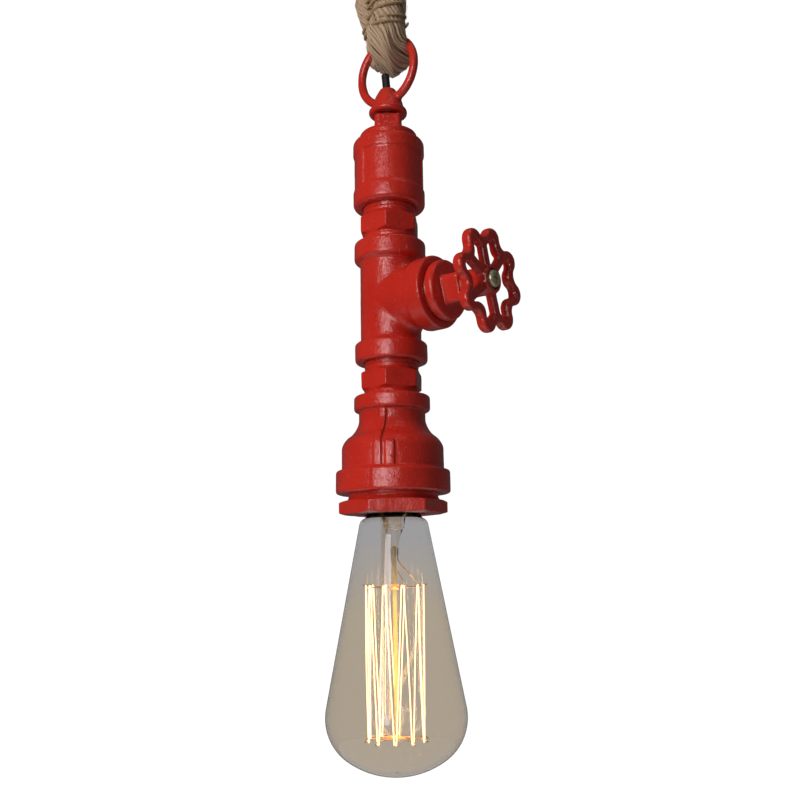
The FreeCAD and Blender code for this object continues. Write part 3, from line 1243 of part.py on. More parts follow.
def support(depth, hook_turns, hook_drop):
    """Glass bead on the support rod with one radial wire per hook."""
    z = Z_MOUTH - depth
    bead = lathe((0, z - SUPPORT_BEAD / 2), (SUPPORT_BEAD_RADIUS, z - SUPPORT_BEAD / 2),
                 ((SUPPORT_BEAD_RADIUS + 0.4, z), (SUPPORT_BEAD_RADIUS, z + SUPPORT_BEAD / 2)),
                 (0, z + SUPPORT_BEAD / 2))
    pieces = []
    for turn in hook_turns:
        inner = cage_point(turn, SUPPORT_ROD_RADIUS / 2, depth)
        knee = cage_point(turn, SUPPORT_REACH - HOOK_REACH, depth)
        tip = cage_point(turn, SUPPORT_REACH, depth + hook_drop)
        pieces.append(cord_plain([inner, knee, tip], SUPPORT_WIRE))
    return bead.multiFuse(pieces)


def cord_plain(points, radius):
    """Short wire of straight runs with round joints."""
    pieces = []
    for start, end in zip(points, points[1:]):
        pieces.append(Part.makeCylinder(radius, start.distanceToPoint(end), start, end - start))
        pieces.append(Part.makeSphere(radius, end))
    return pieces[0].multiFuse(pieces[1:])


def upper_hook_turns():
    return filament_turns()[2:-2:2]


def upper_filament_support():
    shape = support(UPPER_SUPPORT_DEPTH, upper_hook_turns(), -HOOK_DROP)
    z = Z_MOUTH - UPPER_SUPPORT_DEPTH
    return shape.cut(rod(SUPPORT_ROD_RADIUS + RUN_FIT, z - SUPPORT_BEAD, z + SUPPORT_BEAD))


def lower_filament_support():
    shape = support(LOWER_SUPPORT_DEPTH, filament_turns()[1::2], HOOK_DROP)
    z = Z_MOUTH - LOWER_SUPPORT_DEPTH
    return shape.cut(rod(SUPPORT_ROD_RADIUS + RUN_FIT, z - SUPPORT_ROD_TIP, z + SUPPORT_BEAD))


def support_rod():
    low = Z_MOUTH - LOWER_SUPPORT_DEPTH - SUPPORT_ROD_TIP
    return rod(SUPPORT_ROD_RADIUS, low, Z_MOUTH - STEM_PRESS_DEPTH + STEM_ROD_ENTRY - CAP_CLEARANCE)


def filament():
    """One wire up and down between the hooks, passing over the upper ones and under the lower ones."""
    top_depth = UPPER_SUPPORT_DEPTH - FILAMENT_HOOK_GAP
    low_depth = LOWER_SUPPORT_DEPTH + FILAMENT_HOOK_GAP
    places = []
    turns = filament_turns()
    for k, turn in enumerate(turns):
        low = k % 2 == 1
        radius = FILAMENT_LOW_RADIUS if low else FILAMENT_TOP_RADIUS
        depth = low_depth if low else top_depth
        if k in (0, len(turns) - 1):
            places.append(cage_point(turn, radius, depth))
        else:
            places.append(cage_point(turn + FILAMENT_HOOK_TURN, radius, depth))
            places.append(cage_point(turn - FILAMENT_HOOK_TURN, radius, depth))
    edges = []
    here = places[0]
    for before, corner, after in zip(places, places[1:], places[2:]):
        back = (before - corner).normalize()
        ahead = (after - corner).normalize()
        turn = math.pi - back.getAngle(ahead)
        reach = 0.48 * min(before.distanceToPoint(corner), after.distanceToPoint(corner))
        bend = reach / math.tan(turn / 2)
        inward = (back + ahead).normalize()
        middle = corner + inward * (bend / math.cos(turn / 2) - bend)
        edges.append(line(here, corner + back * reach))
        edges.append(arc(corner + back * reach, middle, corner + ahead * reach))
        here = corner + ahead * reach
    edges.append(line(here, places[-1]))
    solid, expected = swept(edges, FILAMENT_RADIUS)
    print("filament volume ratio %.4f" % (solid.Volume / expected))
    return solid


PIECES = (ceiling_mounting_bar, ceiling_rose, rose_screws, terminal_block, terminal_block_screws, rope_collar,
          collar_nut, collar_set_screws, rope, twine_binding, rose_cable, feed_cable, lamp_eye, threaded_tube,
          top_plug, tube_lock_nut, cord_grip, cord_grip_screw, pipe_coupling, upper_hex_nipple, tee, branch_plug,
          wheel_bush, wheel_back_washer, handwheel, wheel_front_washer, handwheel_screw, lower_hex_nipple,
          reducing_socket, hex_bushing, holder_ring, lampholder_body, lampholder_shell, lampholder_contact,
          lampholder_terminal_screws, conductor_live, conductor_neutral, bulb_glass, bulb_cap, cap_insulator,
          cap_contact, bulb_stem, exhaust_tube, lead_wires, support_rod, upper_filament_support,
          lower_filament_support, filament)


def main():
    os.makedirs("parts", exist_ok=True)
    for piece in PIECES:
        shape = piece()
        if not shape.isValid():
            print(piece.__name__, "is not valid")
        shape.exportStep("parts/" + piece.__name__ + ".step")


main()
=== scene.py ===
import math
import random

import bpy
import numpy as np
from mathutils import Matrix, Vector


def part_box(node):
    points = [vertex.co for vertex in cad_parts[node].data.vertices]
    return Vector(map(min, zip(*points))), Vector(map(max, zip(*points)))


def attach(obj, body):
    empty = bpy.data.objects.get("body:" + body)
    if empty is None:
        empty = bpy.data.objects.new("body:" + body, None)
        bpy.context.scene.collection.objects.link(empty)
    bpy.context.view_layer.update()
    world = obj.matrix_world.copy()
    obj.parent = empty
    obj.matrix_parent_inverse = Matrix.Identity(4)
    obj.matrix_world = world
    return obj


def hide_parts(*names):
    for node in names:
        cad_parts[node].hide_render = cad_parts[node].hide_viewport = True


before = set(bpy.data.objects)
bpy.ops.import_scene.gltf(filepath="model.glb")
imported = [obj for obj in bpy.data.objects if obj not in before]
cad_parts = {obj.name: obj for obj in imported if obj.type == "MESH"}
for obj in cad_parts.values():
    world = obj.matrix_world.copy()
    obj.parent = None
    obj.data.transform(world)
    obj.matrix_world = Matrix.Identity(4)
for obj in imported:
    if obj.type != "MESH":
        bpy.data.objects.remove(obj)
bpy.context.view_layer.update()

MM = 0.001
UP = Vector((0, 0, 1))

# Camera at the photograph's view: metres from the lamp's axis and the ceiling, and its lens in millimetres
VIEW_TURN = math.radians(39.0)
VIEW_PITCH = math.radians(10.5)
VIEW_ROLL = math.radians(0.9)
VIEW_DISTANCE = 0.442
VIEW_HEIGHT = -0.3756
VIEW_SIDE = 0.0038
SENSOR_WIDTH = 36
LENS = 42.42
CLIP_START = 0.01
TOWARD = Vector((math.sin(VIEW_TURN), -math.cos(VIEW_TURN), 0))
RIGHT = Vector((math.cos(VIEW_TURN), math.sin(VIEW_TURN), 0))

# Studio, in metres: strength of the white room for each kind of ray, where the soft boxes aim, and the floor
WORLD_STRENGTHS = (("Is Camera Ray", 1.05), ("Is Transmission Ray", 0.5), ("Is Glossy Ray", 0.05),
                   ("Is Diffuse Ray", 0.13))
LIGHT_AIM = Vector((0, 0, -0.27))
WINDOW_COLOUR = (1.0, 0.92, 0.95)
FLOOR_RADIUS = 0.5
FLOOR_SIDES = 128
FLOOR_Z = -0.72

# Sockets of a Mix node that is set to colours: its factor, both colours, and its result
MIX_INPUTS = (0, 6, 7)
MIX_RESULT = 2

# From here on, lengths and heights are in millimetres. The bulb comes out at the mouth of the hex bushing
MOUTH_Z = round(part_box("hex_bushing")[0].z / MM, 3)

# Paint on the castings: the grid of its skin, and the size and share of each kind of lump
PAINT_GRID = 0.42
PAINT_LUMPS = ((9, 1.0), (2.6, 0.35))
LUMP_DETAIL = 2
LUMP_MIDDLE = 0.55

# Glass and the filament's light: how far below the mouth the tint and the lit rod reach, how far above it
# the porcelain is painted dark as shade in the gap at the bulb's neck, and how far from the axis the support
# wires have a painted glow
TINT_DEPTH = 116
NECK_SHADE_HEIGHT = 22
LIT_ROD_LOW = 96
LIT_ROD_TOP = 26
PAINTED_GLOW_RADIUS = 10
# Strength of the thread on the pieces round it, in reflections, and straight through the glass
THREAD_LIGHT = 8.0
THREAD_MIRRORED = 50.0
THREAD_SEEN = 3.8

# How far the yarn attribute runs round a tube, how far apart it sets tubes along their length, and the step
# between tubes of each kind
YARN_ROUND = 3
YARN_APART = 7
YARN_SEED = 11.3
FIBRE_SEED = 2.7
PLY_SEED = 5.1
HAIR_SEED = 1.9
# A direction that no tube starts along
SIDE_HINT = (0.3, 0.9, 0.1)

# Rope: turn of its bight, and control points across the bight toward the tail, beside it, and in height
BIGHT_TURN = math.radians(-58)
BIGHT_ALONG = Vector((math.cos(BIGHT_TURN), math.sin(BIGHT_TURN), 0))
BIGHT_BESIDE = Vector((-BIGHT_ALONG.y, BIGHT_ALONG.x, 0))
ROPE_SHAPE = ((0, 0, -16.5), (0, 0, -37.0), (-5.8, -7.6, -57.0), (-7.4, -9.8, -75.0), (-7.6, -8.4, -86.0),
              (-8.3, -4.2, -97.0), (-11.0, -3.0, -105.6), (-10.6, -0.8, -112.0), (-4.4, 2.8, -116.8),
              (4.4, 3.4, -117.4), (10.6, 0.8, -113.6), (11.4, 0.8, -106.2), (8.5, 2.2, -99.0),
              (7.7, 3.2, -91.0), (7.9, 2.6, -76.4))
ROPE_SEED = 11
ROPE_STEP = 0.8
ROPE_SMOOTHNESS = 24
CORE_RADIUS = 7.1
CORE_END_RADIUS = 5.6
CORE_SIDES = 20
# The rope is pressed wide in the eye, and its lower edge is drawn out narrow
PRESSED_Z = -98
PRESSED_RUN = 10
PRESSED_WIDER = 0.24
PRESSED_FLATTER = 0.08
POINTED_Z = -108.5
POINTED_RUN = 6
POINTED_SHARE = 0.7
POINTED_POWER = 1.5
POINTED_CORE = 2.4
# Yarns: how they are laid, and the size and depth of the waves in their lay, their height and their width
YARN_COUNT = 44
YARN_PITCH = 64
YARN_OUT = 7.25
YARN_RADIUS = 0.7
YARN_SIDES = 6
YARN_JITTER = 0.06
YARN_SWAY = (9, 0.1)
YARN_LIFT = (7, 0.26)
YARN_RIPPLE = (3.1, 0.16)
YARN_SWELL = (5, 0.14)
# Loose fibres: how many steps of the rope each runs along, how it lies, and how far its tip stands off
FIBRE_COUNT = 900
FIBRE_STEPS = (5, 16)
FIBRE_LAY = (0.2, 1.6)
FIBRE_OUT = 7.75
FIBRE_RISE = 0.1
FIBRE_TIP = (0.05, 1.6)
FIBRE_RADII = (0.1, 0.03)
FIBRE_SIDES = 3
# Steps at the end of a rope or a twine where no fibre starts
FIBRE_MARGIN = 12

# Twine binding: its turns round both legs of the rope, the height of each turn, how far out from a leg it
# lies, and where its tilt takes each leg to be
TWINE_SEED = 5
TWINE_TURNS = 5.33
TWINE_TILT = 0.34
TWINE_HEIGHTS = (-102.6, -100.0, -96.4, -88.7, -85.0, -81.4, -78.9)
TWINE_OUT = 9.2
TWINE_LEG = 9
TWINE_START = 90
TURN_POINTS = 12
LOOSE_LENGTH = 2.2
LOOSE_ASIDE = 1.6
LOOSE_RISE = 1.5
TWINE_STEP = 0.3
TWINE_SMOOTHNESS = 10
PLY_COUNT = 2
PLY_LAY = 3.4
PLY_OUT = 0.36
PLY_RADIUS = 0.44
PLY_SIDES = 7
PLY_SWELL = (1.9, 0.05)
HAIR_COUNT = 420
HAIR_STEPS = (5, 11)
HAIR_OUT = 0.75
HAIR_TIP = (0.1, 1.3)
HAIR_RADII = (0.07, 0.02)

# Cables: the feed from under the rope's bight to the cord grip, and its top end inside the rose
CABLE_RADIUS = 2.0
CABLE_STEP = 0.6
CABLE_SIDES = 24
FEED_ROUTE = ((-0.9, -0.7, -125.5), (-0.2, -0.2, -134), (0, 0, -150), (0, 0, -197.7))
ROSE_ROUTE = ((0, 0, -16.5), (0, 0, -6.5), (19, 0, -6.5))

# Bulb: a round bottom, an arc at its widest, a straight taper, a shoulder and a straight collar
BULB_WALL = 0.8
BULB_STEPS = 160
BULB_AXIS_HOLE = 0.02
BULB_WIDEST_DROP = 90.2
BULB_BOTTOM_DEPTH = 25.2
BULB_SIDE_AT = 10.0
BULB_SIDE_RADIUS = 22.0
BULB_TAPER = 10.8
BULB_SHOULDER_DROP = 4.4
BULB_SHOULDER_RISE = 2.8
BULB_SHOULDER_BULGE = 0.5
BULB_NECK_RADIUS = 13.4
BULB_COLLAR_RADIUS = 12.2
BULB_COLLAR_RISE = 0.6
BULB_COLLAR_TOP = 5.0
BOTTOM_POINTS = 18
SIDE_POINTS = 30
TAPER_POINTS = 12
SHOULDER_POINTS = 5

# Filament: legs round a cage, in degrees, between hooks at (radius, drop below the mouth), upper then lower
CAGE_SEED = 3
CAGE_LEGS = 18
CAGE_TURN = -51
CAGE_FIRST = 123
CAGE_STEP = 18
CAGE_HOOKS = ((13.3, 32.65), (12.9, 100.2))
CAGE_MIDDLE_DROP = 60
HOOK_TURN = 2.2
HOOK_BEND = 0.4
HOOK_POINTS = 5
LEG_POINTS = 40
LEG_BOW = (-0.5, 0.6)
LEG_SHORTEST = 20
THREAD_RADIUS = 0.25
THREAD_SIDES = 10


def add_camera():
    data = bpy.data.cameras.new("camera")
    data.sensor_width = SENSOR_WIDTH
    data.lens = LENS
    data.clip_start = CLIP_START
    camera = bpy.data.objects.new("camera", data)
    bpy.context.collection.objects.link(camera)
    place = TOWARD * VIEW_DISTANCE + UP * VIEW_HEIGHT
    ahead = -TOWARD * VIEW_DISTANCE + RIGHT * VIEW_SIDE
    ahead = ahead + UP * math.tan(VIEW_PITCH) * VIEW_DISTANCE
    turn = ahead.to_track_quat("-Z", "Y").to_matrix().to_4x4()
    camera.matrix_world = Matrix.Translation(place) @ turn @ Matrix.Rotation(-VIEW_ROLL, 4, "Z")
    bpy.context.scene.camera = camera


def add_light(name, offset, size, power, colour=(1, 1, 1), shown=True, lit=True):
    """Soft box set off from its aim to the camera's right, toward the camera and up.

    Where it is shown, it shows in glossy surfaces and glass. Where it is lit, it lights dull surfaces.
    """
    data = bpy.data.lights.new(name, "AREA")
    data.shape = "RECTANGLE"
    data.size, data.size_y = size
    data.energy = power
    data.color = colour
    light = bpy.data.objects.new(name, data)
    bpy.context.collection.objects.link(light)
    right, toward, up = offset
    place = LIGHT_AIM + RIGHT * right + TOWARD * toward + UP * up
    turn = (LIGHT_AIM - place).to_track_quat("-Z", "Y").to_matrix().to_4x4()
    light.matrix_world = Matrix.Translation(place) @ turn
    light.visible_camera = False
    light.visible_glossy = shown
    light.visible_transmission = shown
    light.visible_diffuse = lit


def add_world():
    """White behind the lamp, grey where glass shows it, and a dim room to reflect and to light the lamp."""
    world = bpy.data.worlds.new("studio")
    bpy.context.scene.world = world
    world.use_nodes = True
    nodes = world.node_tree.nodes
    links = world.node_tree.links
    nodes.clear()
    path = nodes.new("ShaderNodeLightPath")
    total = None
    for ray, strength in WORLD_STRENGTHS:
        share = nodes.new("ShaderNodeMath")
        share.operation = "MULTIPLY_ADD"
        share.inputs[1].default_value = strength
        share.inputs[2].default_value = 0
        links.new(path.outputs[ray], share.inputs[0])
        if total is not None:
            links.new(total, share.inputs[2])
        total = share.outputs[0]
    room = nodes.new("ShaderNodeBackground")
    room.inputs["Color"].default_value = (1, 1, 1, 1)
    links.new(total, room.inputs["Strength"])
    output = nodes.new("ShaderNodeOutputWorld")
    links.new(room.outputs[0], output.inputs["Surface"])


class Look:
    """A node material built step by step. Most methods add nodes and return the output to link on."""

    def __init__(self, name):
        self.material = bpy.data.materials.new(name)
        self.material.use_nodes = True
        self.tree = self.material.node_tree
        self.tree.nodes.clear()
        self.shader = self.node("BsdfPrincipled")
        self.node("OutputMaterial", Surface=self.shader.outputs[0])
        self.place = self.node("TexCoord").outputs["Object"]

    def join(self, source, target):
        """Link a node's output to an input, or set the input's value."""
        if isinstance(source, bpy.types.NodeSocket):
            self.tree.links.new(source, target)
        elif hasattr(source, "__len__") and len(source) == 3 and target.type == "RGBA":
            target.default_value = (*source, 1)
        else:
            target.default_value = source

    def fill(self, node, values):
        for name, value in values.items():
            self.join(value, node.inputs[name.replace("_", " ")])
        return node

    def node(self, kind, **values):
        """A new node with the given values or links on its inputs."""
        return self.fill(self.tree.nodes.new("ShaderNode" + kind), values)

    def set(self, **values):
        """Values or links on the shader's own inputs."""
        self.fill(self.shader, values)

    def stretch(self, scale, source=None):
        """Coordinates scaled along each axis, so that a texture on them is drawn out."""
        return self.node("Mapping", Scale=scale, Vector=source or self.place).outputs[0]

    def noise(self, size, detail=3, rough=0.5, source=None, bend=0.0):
        """Soft noise whose blobs are about that size in millimetres."""
        node = self.node("TexNoise", Scale=1 / (size * MM), Detail=detail, Roughness=rough, Distortion=bend,
                         Vector=source or self.place)
        return node.outputs["Fac"]

    def cells(self, size):
        """Distance from the middles of cells about that size in millimetres."""
        return self.node("TexVoronoi", Scale=1 / (size * MM), Vector=self.place).outputs["Distance"]

    def ramp(self, value, *stops):
        """Colours or greys at places from 0 to 1."""
        node = self.node("ValToRGB", Fac=value)
        marks = node.color_ramp.elements
        for k, (place, colour) in enumerate(stops):
            mark = marks[k] if k < len(marks) else marks.new(place)
            mark.position = place
            mark.color = (*colour, 1) if hasattr(colour, "__len__") else (colour, colour, colour, 1)
        return node.outputs["Color"]

    def spots(self, size, low, high, detail=3, rough=0.5, bend=0.0):
        """1 where noise of that size is above the high mark, and 0 where it is below the low one."""
        return self.ramp(self.noise(size, detail, rough, bend=bend), (low, 0.0), (high, 1.0))

    def mix(self, factor, first, second, how="MIX"):
        """The first colour at factor 0 and the second, or their blend, at factor 1."""
        node = self.node("Mix")
        node.data_type = "RGBA"
        node.blend_type = how
        for value, place in zip((factor, first, second), MIX_INPUTS):
            self.join(value, node.inputs[place])
        return node.outputs[MIX_RESULT]

    def stain(self, under, colour, where, share):
        """The colour over what is under it, as strong as its share where the mask is 1."""
        return self.mix(self.maths("MULTIPLY", where, share), under, colour)

    def maths(self, how, *values):
        node = self.node("Math")
        node.operation = how
        for value, target in zip(values, node.inputs):
            self.join(value, target)
        return node.outputs[0]

    def bump(self, height, depth, strength=1.0, under=None):
        """Surface relief of so many millimetres."""
        node = self.node("Bump", Distance=depth * MM, Strength=strength, Height=height)
        if under is not None:
            self.join(under, node.inputs["Normal"])
        return node.outputs[0]

    def facing(self, blend=0.5):
        """0 where the surface faces the eye, and rising toward its edges."""
        return self.node("LayerWeight", Blend=blend).outputs["Facing"]

    def height(self, low, high):
        """0 at the low height and 1 at the high one."""
        up = self.node("SeparateXYZ", Vector=self.place).outputs["Z"]
        return self.node("MapRange", From_Min=low * MM, From_Max=high * MM, Value=up).outputs[0]


def enamel():
    """Thick glossy red paint over rough castings."""
    look = Look("red_enamel")
    colour = look.ramp(look.noise(26, 2), (0.3, (0.53, 0.0165, 0.0075)), (0.7, (0.62, 0.025, 0.012)))
    worn = look.spots(7, 0.62, 0.78, 5, 0.65)
    colour = look.stain(colour, (0.38, 0.014, 0.010), worn, 0.35)
    specks = look.spots(1.9, 0.755, 0.79, 2)
    colour = look.stain(colour, (0.10, 0.012, 0.010), specks, 0.7)
    # Pale specks: painted glints like the sparkle in glossy paint, with some dust
    glint_and_dust_specks = look.spots(0.9, 0.74, 0.77)
    colour = look.stain(colour, (0.72, 0.36, 0.28), glint_and_dust_specks, 0.5)
    look.set(Base_Color=colour, Specular_IOR_Level=0.3)
    look.set(Roughness=look.ramp(look.noise(9, 4, 0.6), (0.3, 0.24), (0.75, 0.38)))
    look.set(Coat_Weight=1.0, Coat_Roughness=0.04, Coat_IOR=1.5)
    nibs = look.spots(1.7, 0.66, 0.76, 2, bend=0.4)
    lumps = look.bump(look.noise(4.5), 0.35, 0.5)
    casting = look.bump(look.noise(1.4, 4, 0.6), 0.2, 0.7, lumps)
    pits = look.bump(look.ramp(look.cells(1.1), (0.0, 0.0), (0.25, 1.0)), 0.07, 0.5, casting)
    look.set(Normal=look.bump(look.noise(0.6, 2), 0.1, 0.7, look.bump(nibs, 0.35, 0.8, pits)))
    skin = look.bump(look.noise(1.0, 3, 0.55), 0.32, 0.9, lumps)
    look.set(Coat_Normal=look.bump(nibs, 0.5, 0.9, skin))
    return look.material


def metal(name, colour, dark, rough=(0.25, 0.45), share=1.0):
    """Machined or plated metal with fine tool marks, dull spots and a little tarnish."""
    look = Look(name)
    tarnish = look.spots(3.5, 0.45, 0.75, 6, 0.65)
    look.set(Base_Color=look.stain(colour, dark, tarnish, 0.6), Metallic=share)
    look.set(Roughness=look.ramp(look.noise(2.0, 5, 0.6), (0.3, rough[0]), (0.7, rough[1])))
    marks = look.noise(12, 2, 0.5, look.stretch((40, 40, 400)))
    look.set(Normal=look.bump(look.noise(0.5), 0.03, 0.5, look.bump(marks, 0.02, 0.4)))
    return look.material


def moulded(name, colour, rough=0.4, grain=0.35):
    """Moulded plastic, rubber or fibre with a fine grain and faint scuffs."""
    look = Look(name)
    dark = tuple(c * 0.78 for c in colour)
    light = tuple(min(1, c * 1.12 + 0.004) for c in colour)
    look.set(Base_Color=look.ramp(look.noise(6, 4, 0.6), (0.3, dark), (0.7, light)))
    look.set(Roughness=look.ramp(look.noise(2.5, 5), (0.3, rough * 0.85), (0.7, min(1, rough * 1.2))))
    look.set(Normal=look.bump(look.noise(grain), 0.04, 0.6))
    return look.material


def porcelain():
    """White glaze with a few specks, painted dark at its low edge as the shade in the gap beside the bulb's
    neck.
    """
    look = Look("porcelain")
    body = look.ramp(look.noise(8, 4), (0.3, (0.78, 0.75, 0.68)), (0.7, (0.86, 0.84, 0.79)))
    body = look.stain(body, (0.35, 0.28, 0.2), look.spots(0.8, 0.76, 0.8, 2), 0.5)
    # Painted shade: the porcelain darkens toward its low edge, where the gap by the bulb's neck lies in
    # shade
    painted_neck_shade = look.ramp(look.height(MOUTH_Z, MOUTH_Z + NECK_SHADE_HEIGHT), (0.55, 1.0), (0.95, 0.0))
    look.set(Base_Color=look.mix(painted_neck_shade, body, (0.035, 0.018, 0.010)))
    look.set(Roughness=look.ramp(look.noise(4), (0.3, 0.12), (0.7, 0.24)))
    look.set(Coat_Weight=0.5, Coat_Roughness=0.05)
    look.set(Normal=look.bump(look.noise(3), 0.05, 0.5))
    return look.material


def clear_glass():
    """Thin smoked glass, painted dark gold at its collar as shade with a brass reflection, grey at the neck
    and tan below, with faint ripples and dust.
    """
    look = Look("bulb_glass")
    grey = (0.79, 0.785, 0.795)
    # The dark gold at the collar is painted shade in the gap at the neck, with a painted reflection of the
    # brass cap
    tint = look.ramp(look.height(MOUTH_Z - TINT_DEPTH, MOUTH_Z), (0.0, (0.87, 0.80, 0.71)),
                     (0.6, (0.87, 0.80, 0.70)), (0.92, grey), (0.984, grey), (0.992, (0.20, 0.12, 0.05)))
    rim = look.ramp(look.facing(), (0.72, 0.0), (0.97, 1.0))
    look.set(Base_Color=look.stain(tint, (0.42, 0.36, 0.30), rim, 0.6))
    look.set(Transmission_Weight=1.0, IOR=1.3)
    look.set(Roughness=look.ramp(look.noise(14, 5, 0.6), (0.5, 0.0), (0.8, 0.02)))
    look.set(Normal=look.bump(look.noise(22, 2), 0.05, 0.25))
    return look.material


def stem_glass():
    """Clear glass with streaks along it."""
    look = Look("stem_glass")
    streaks = look.noise(3, source=look.stretch((1, 1, 0.15)))
    look.set(Base_Color=look.ramp(streaks, (0.3, (0.86, 0.78, 0.66)), (0.7, (0.95, 0.92, 0.88))))
    look.set(Transmission_Weight=1.0, IOR=1.16, Roughness=look.ramp(look.noise(2), (0.4, 0.0), (0.8, 0.08)))
    look.set(Normal=look.bump(streaks, 0.2, 0.4))
    return look.material


def lit_rod():
    """Amber rod that the filament round it lights up over the height of its legs."""
    look = Look("lit_rod")
    streaks = look.noise(4, source=look.stretch((1, 1, 0.2)))
    look.set(Base_Color=look.ramp(streaks, (0.3, (0.72, 0.55, 0.26)), (0.7, (0.86, 0.76, 0.50))))
    share = look.height(MOUTH_Z - LIT_ROD_LOW, MOUTH_Z - LIT_ROD_TOP)
    lit = look.ramp(share, (0.0, 0.25), (0.3, 1.0), (0.8, 0.8), (1.0, 0.0))
    warm = look.ramp(streaks, (0.3, (0.80, 0.46, 0.08)), (0.7, (0.92, 0.66, 0.20)))
    look.set(Emission_Color=look.mix(1.0, warm, lit, "MULTIPLY"), Emission_Strength=0.6)
    look.set(Transmission_Weight=0.6, IOR=1.3, Roughness=look.ramp(look.noise(2), (0.4, 0.15), (0.8, 0.3)))
    look.set(Normal=look.bump(streaks, 0.1, 0.4))
    return look.material


def wire_with_painted_glow():
    """Thin dark wire with a painted orange glow near the lamp's axis, in place of the filament's light
    falling on it.
    """
    look = Look("wire_with_painted_glow")
    tarnish = look.spots(1.6, 0.4, 0.7, 4, 0.6)
    look.set(Base_Color=look.mix(tarnish, (0.34, 0.25, 0.17), (0.10, 0.06, 0.04)), Metallic=1.0)
    look.set(Roughness=look.ramp(look.noise(0.9), (0.3, 0.3), (0.7, 0.5)))
    from_axis = look.node("VectorMath", Vector=look.stretch((1 / MM, 1 / MM, 0)))
    from_axis.operation = "LENGTH"
    share = look.maths("MULTIPLY", from_axis.outputs["Value"], 1 / PAINTED_GLOW_RADIUS)
    # Painted glow: orange emission near the axis stands in for the filament's light on the support wires
    near = look.ramp(share, (0.2, (1.0, 0.36, 0.09)), (0.4, (0.75, 0.16, 0.03)), (0.8, (0.02, 0.0, 0.0)))
    look.set(Emission_Color=look.mix(1.0, near, look.ramp(tarnish, (0.0, 1.0), (1.0, 0.6)), "MULTIPLY"))
    look.set(Emission_Strength=1.6, Normal=look.bump(look.noise(0.3, 2), 0.03, 0.5))
    return look.material


def glow():
    """Carbon thread at full heat: nearly white where it faces the eye and orange along its edges.

    It shines less straight through the glass than in its reflections and on the pieces round it.
    """
    look = Look("glowing_filament")
    mottle = look.noise(2.2, 4, 0.6, look.stretch((1, 1, 0.3)))
    edge = look.maths("MULTIPLY", look.facing(0.35), 0.75)
    heat = look.maths("ADD", edge, look.maths("MULTIPLY", mottle, 0.35))
    colour = look.ramp(heat, (0.2, (1.0, 0.76, 0.44)), (0.5, (1.0, 0.52, 0.16)), (0.85, (1.0, 0.24, 0.03)))
    path = look.node("LightPath").outputs
    light = look.maths("MULTIPLY_ADD", path["Is Glossy Ray"], THREAD_MIRRORED - THREAD_LIGHT, THREAD_LIGHT)
    light = look.maths("MULTIPLY_ADD", path["Is Transmission Ray"], THREAD_SEEN - THREAD_MIRRORED, light)
    look.set(Base_Color=(0.5, 0.2, 0.05), Emission_Color=colour, Emission_Strength=light, Roughness=0.6)
    look.set(Normal=look.bump(look.noise(0.4, 2), 0.05, 0.5))
    return look.material


def jute(name, light, dark, red):
    """Dry plant fibre: streaks run along each yarn, with darker and redder fibres among them."""
    look = Look(name)
    attribute = look.node("Attribute")
    attribute.attribute_name = "yarn"
    run = look.stretch((1.0, 1.0, 0.05), attribute.outputs["Vector"])
    fibre = look.node("TexNoise", Scale=1.0, Detail=5, Roughness=0.65, Vector=run).outputs["Fac"]
    bright = tuple(min(1, c * 1.25) for c in light)
    colour = look.ramp(fibre, (0.28, dark), (0.52, light), (0.78, bright))
    patch = look.ramp(look.noise(9, 3, 0.55), (0.45, 0.0), (0.75, 0.5))
    look.set(Base_Color=look.mix(patch, colour, red), Roughness=0.85, Sheen_Weight=0.25, Sheen_Roughness=0.5)
    look.set(Normal=look.bump(fibre, 0.35, 0.8, look.bump(look.noise(1.2, 4, 0.7), 0.25, 0.5)))
    return look.material


def floor_paint():
    look = Look("pale_floor")
    look.set(Base_Color=look.ramp(look.noise(60), (0.3, (0.82, 0.82, 0.81)), (0.7, (0.86, 0.86, 0.85))))
    look.set(Roughness=0.6)
    return look.material


def smooth(mesh):
    """Smooth shading on all of a mesh's faces."""
    mesh.polygons.foreach_set("use_smooth", [True] * len(mesh.polygons))


def finished(obj, body, nodes, material):
    """Put a new piece in the scene: its material, the body it rides on and the nodes it stands for."""
    if obj.name not in bpy.context.collection.objects:
        bpy.context.collection.objects.link(obj)
    obj.data.materials.clear()
    obj.data.materials.append(material)
    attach(obj, body)
    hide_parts(*nodes)
    return obj


def applied(obj):
    """Swap an object's mesh for what its modifiers make of it."""
    bpy.context.view_layer.update()
    shaped = obj.evaluated_get(bpy.context.evaluated_depsgraph_get())
    mesh = bpy.data.meshes.new_from_object(shaped)
    obj.modifiers.clear()
    obj.data = mesh


def cast(node, body, material, soften=5, lumps=0.22):
    """A casting under thick paint: the CAD shape with rounded edges and grooves and uneven faces."""
    obj = bpy.data.objects.new("painted_" + node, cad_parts[node].data.copy())
    bpy.context.collection.objects.link(obj)
    remesh = obj.modifiers.new("skin", "REMESH")
    remesh.mode = "VOXEL"
    remesh.voxel_size = PAINT_GRID * MM
    rounding = obj.modifiers.new("round", "SMOOTH")
    rounding.factor = 0.5
    rounding.iterations = soften
    for size, share in PAINT_LUMPS:
        texture = bpy.data.textures.new("lumps", "CLOUDS")
        texture.noise_scale = size * MM
        texture.noise_depth = LUMP_DETAIL
        shift = obj.modifiers.new("uneven", "DISPLACE")
        shift.texture = texture
        shift.texture_coords = "LOCAL"
        shift.strength = lumps * share * MM
        shift.mid_level = LUMP_MIDDLE
    applied(obj)
    smooth(obj.data)
    return finished(obj, body, [node], material)


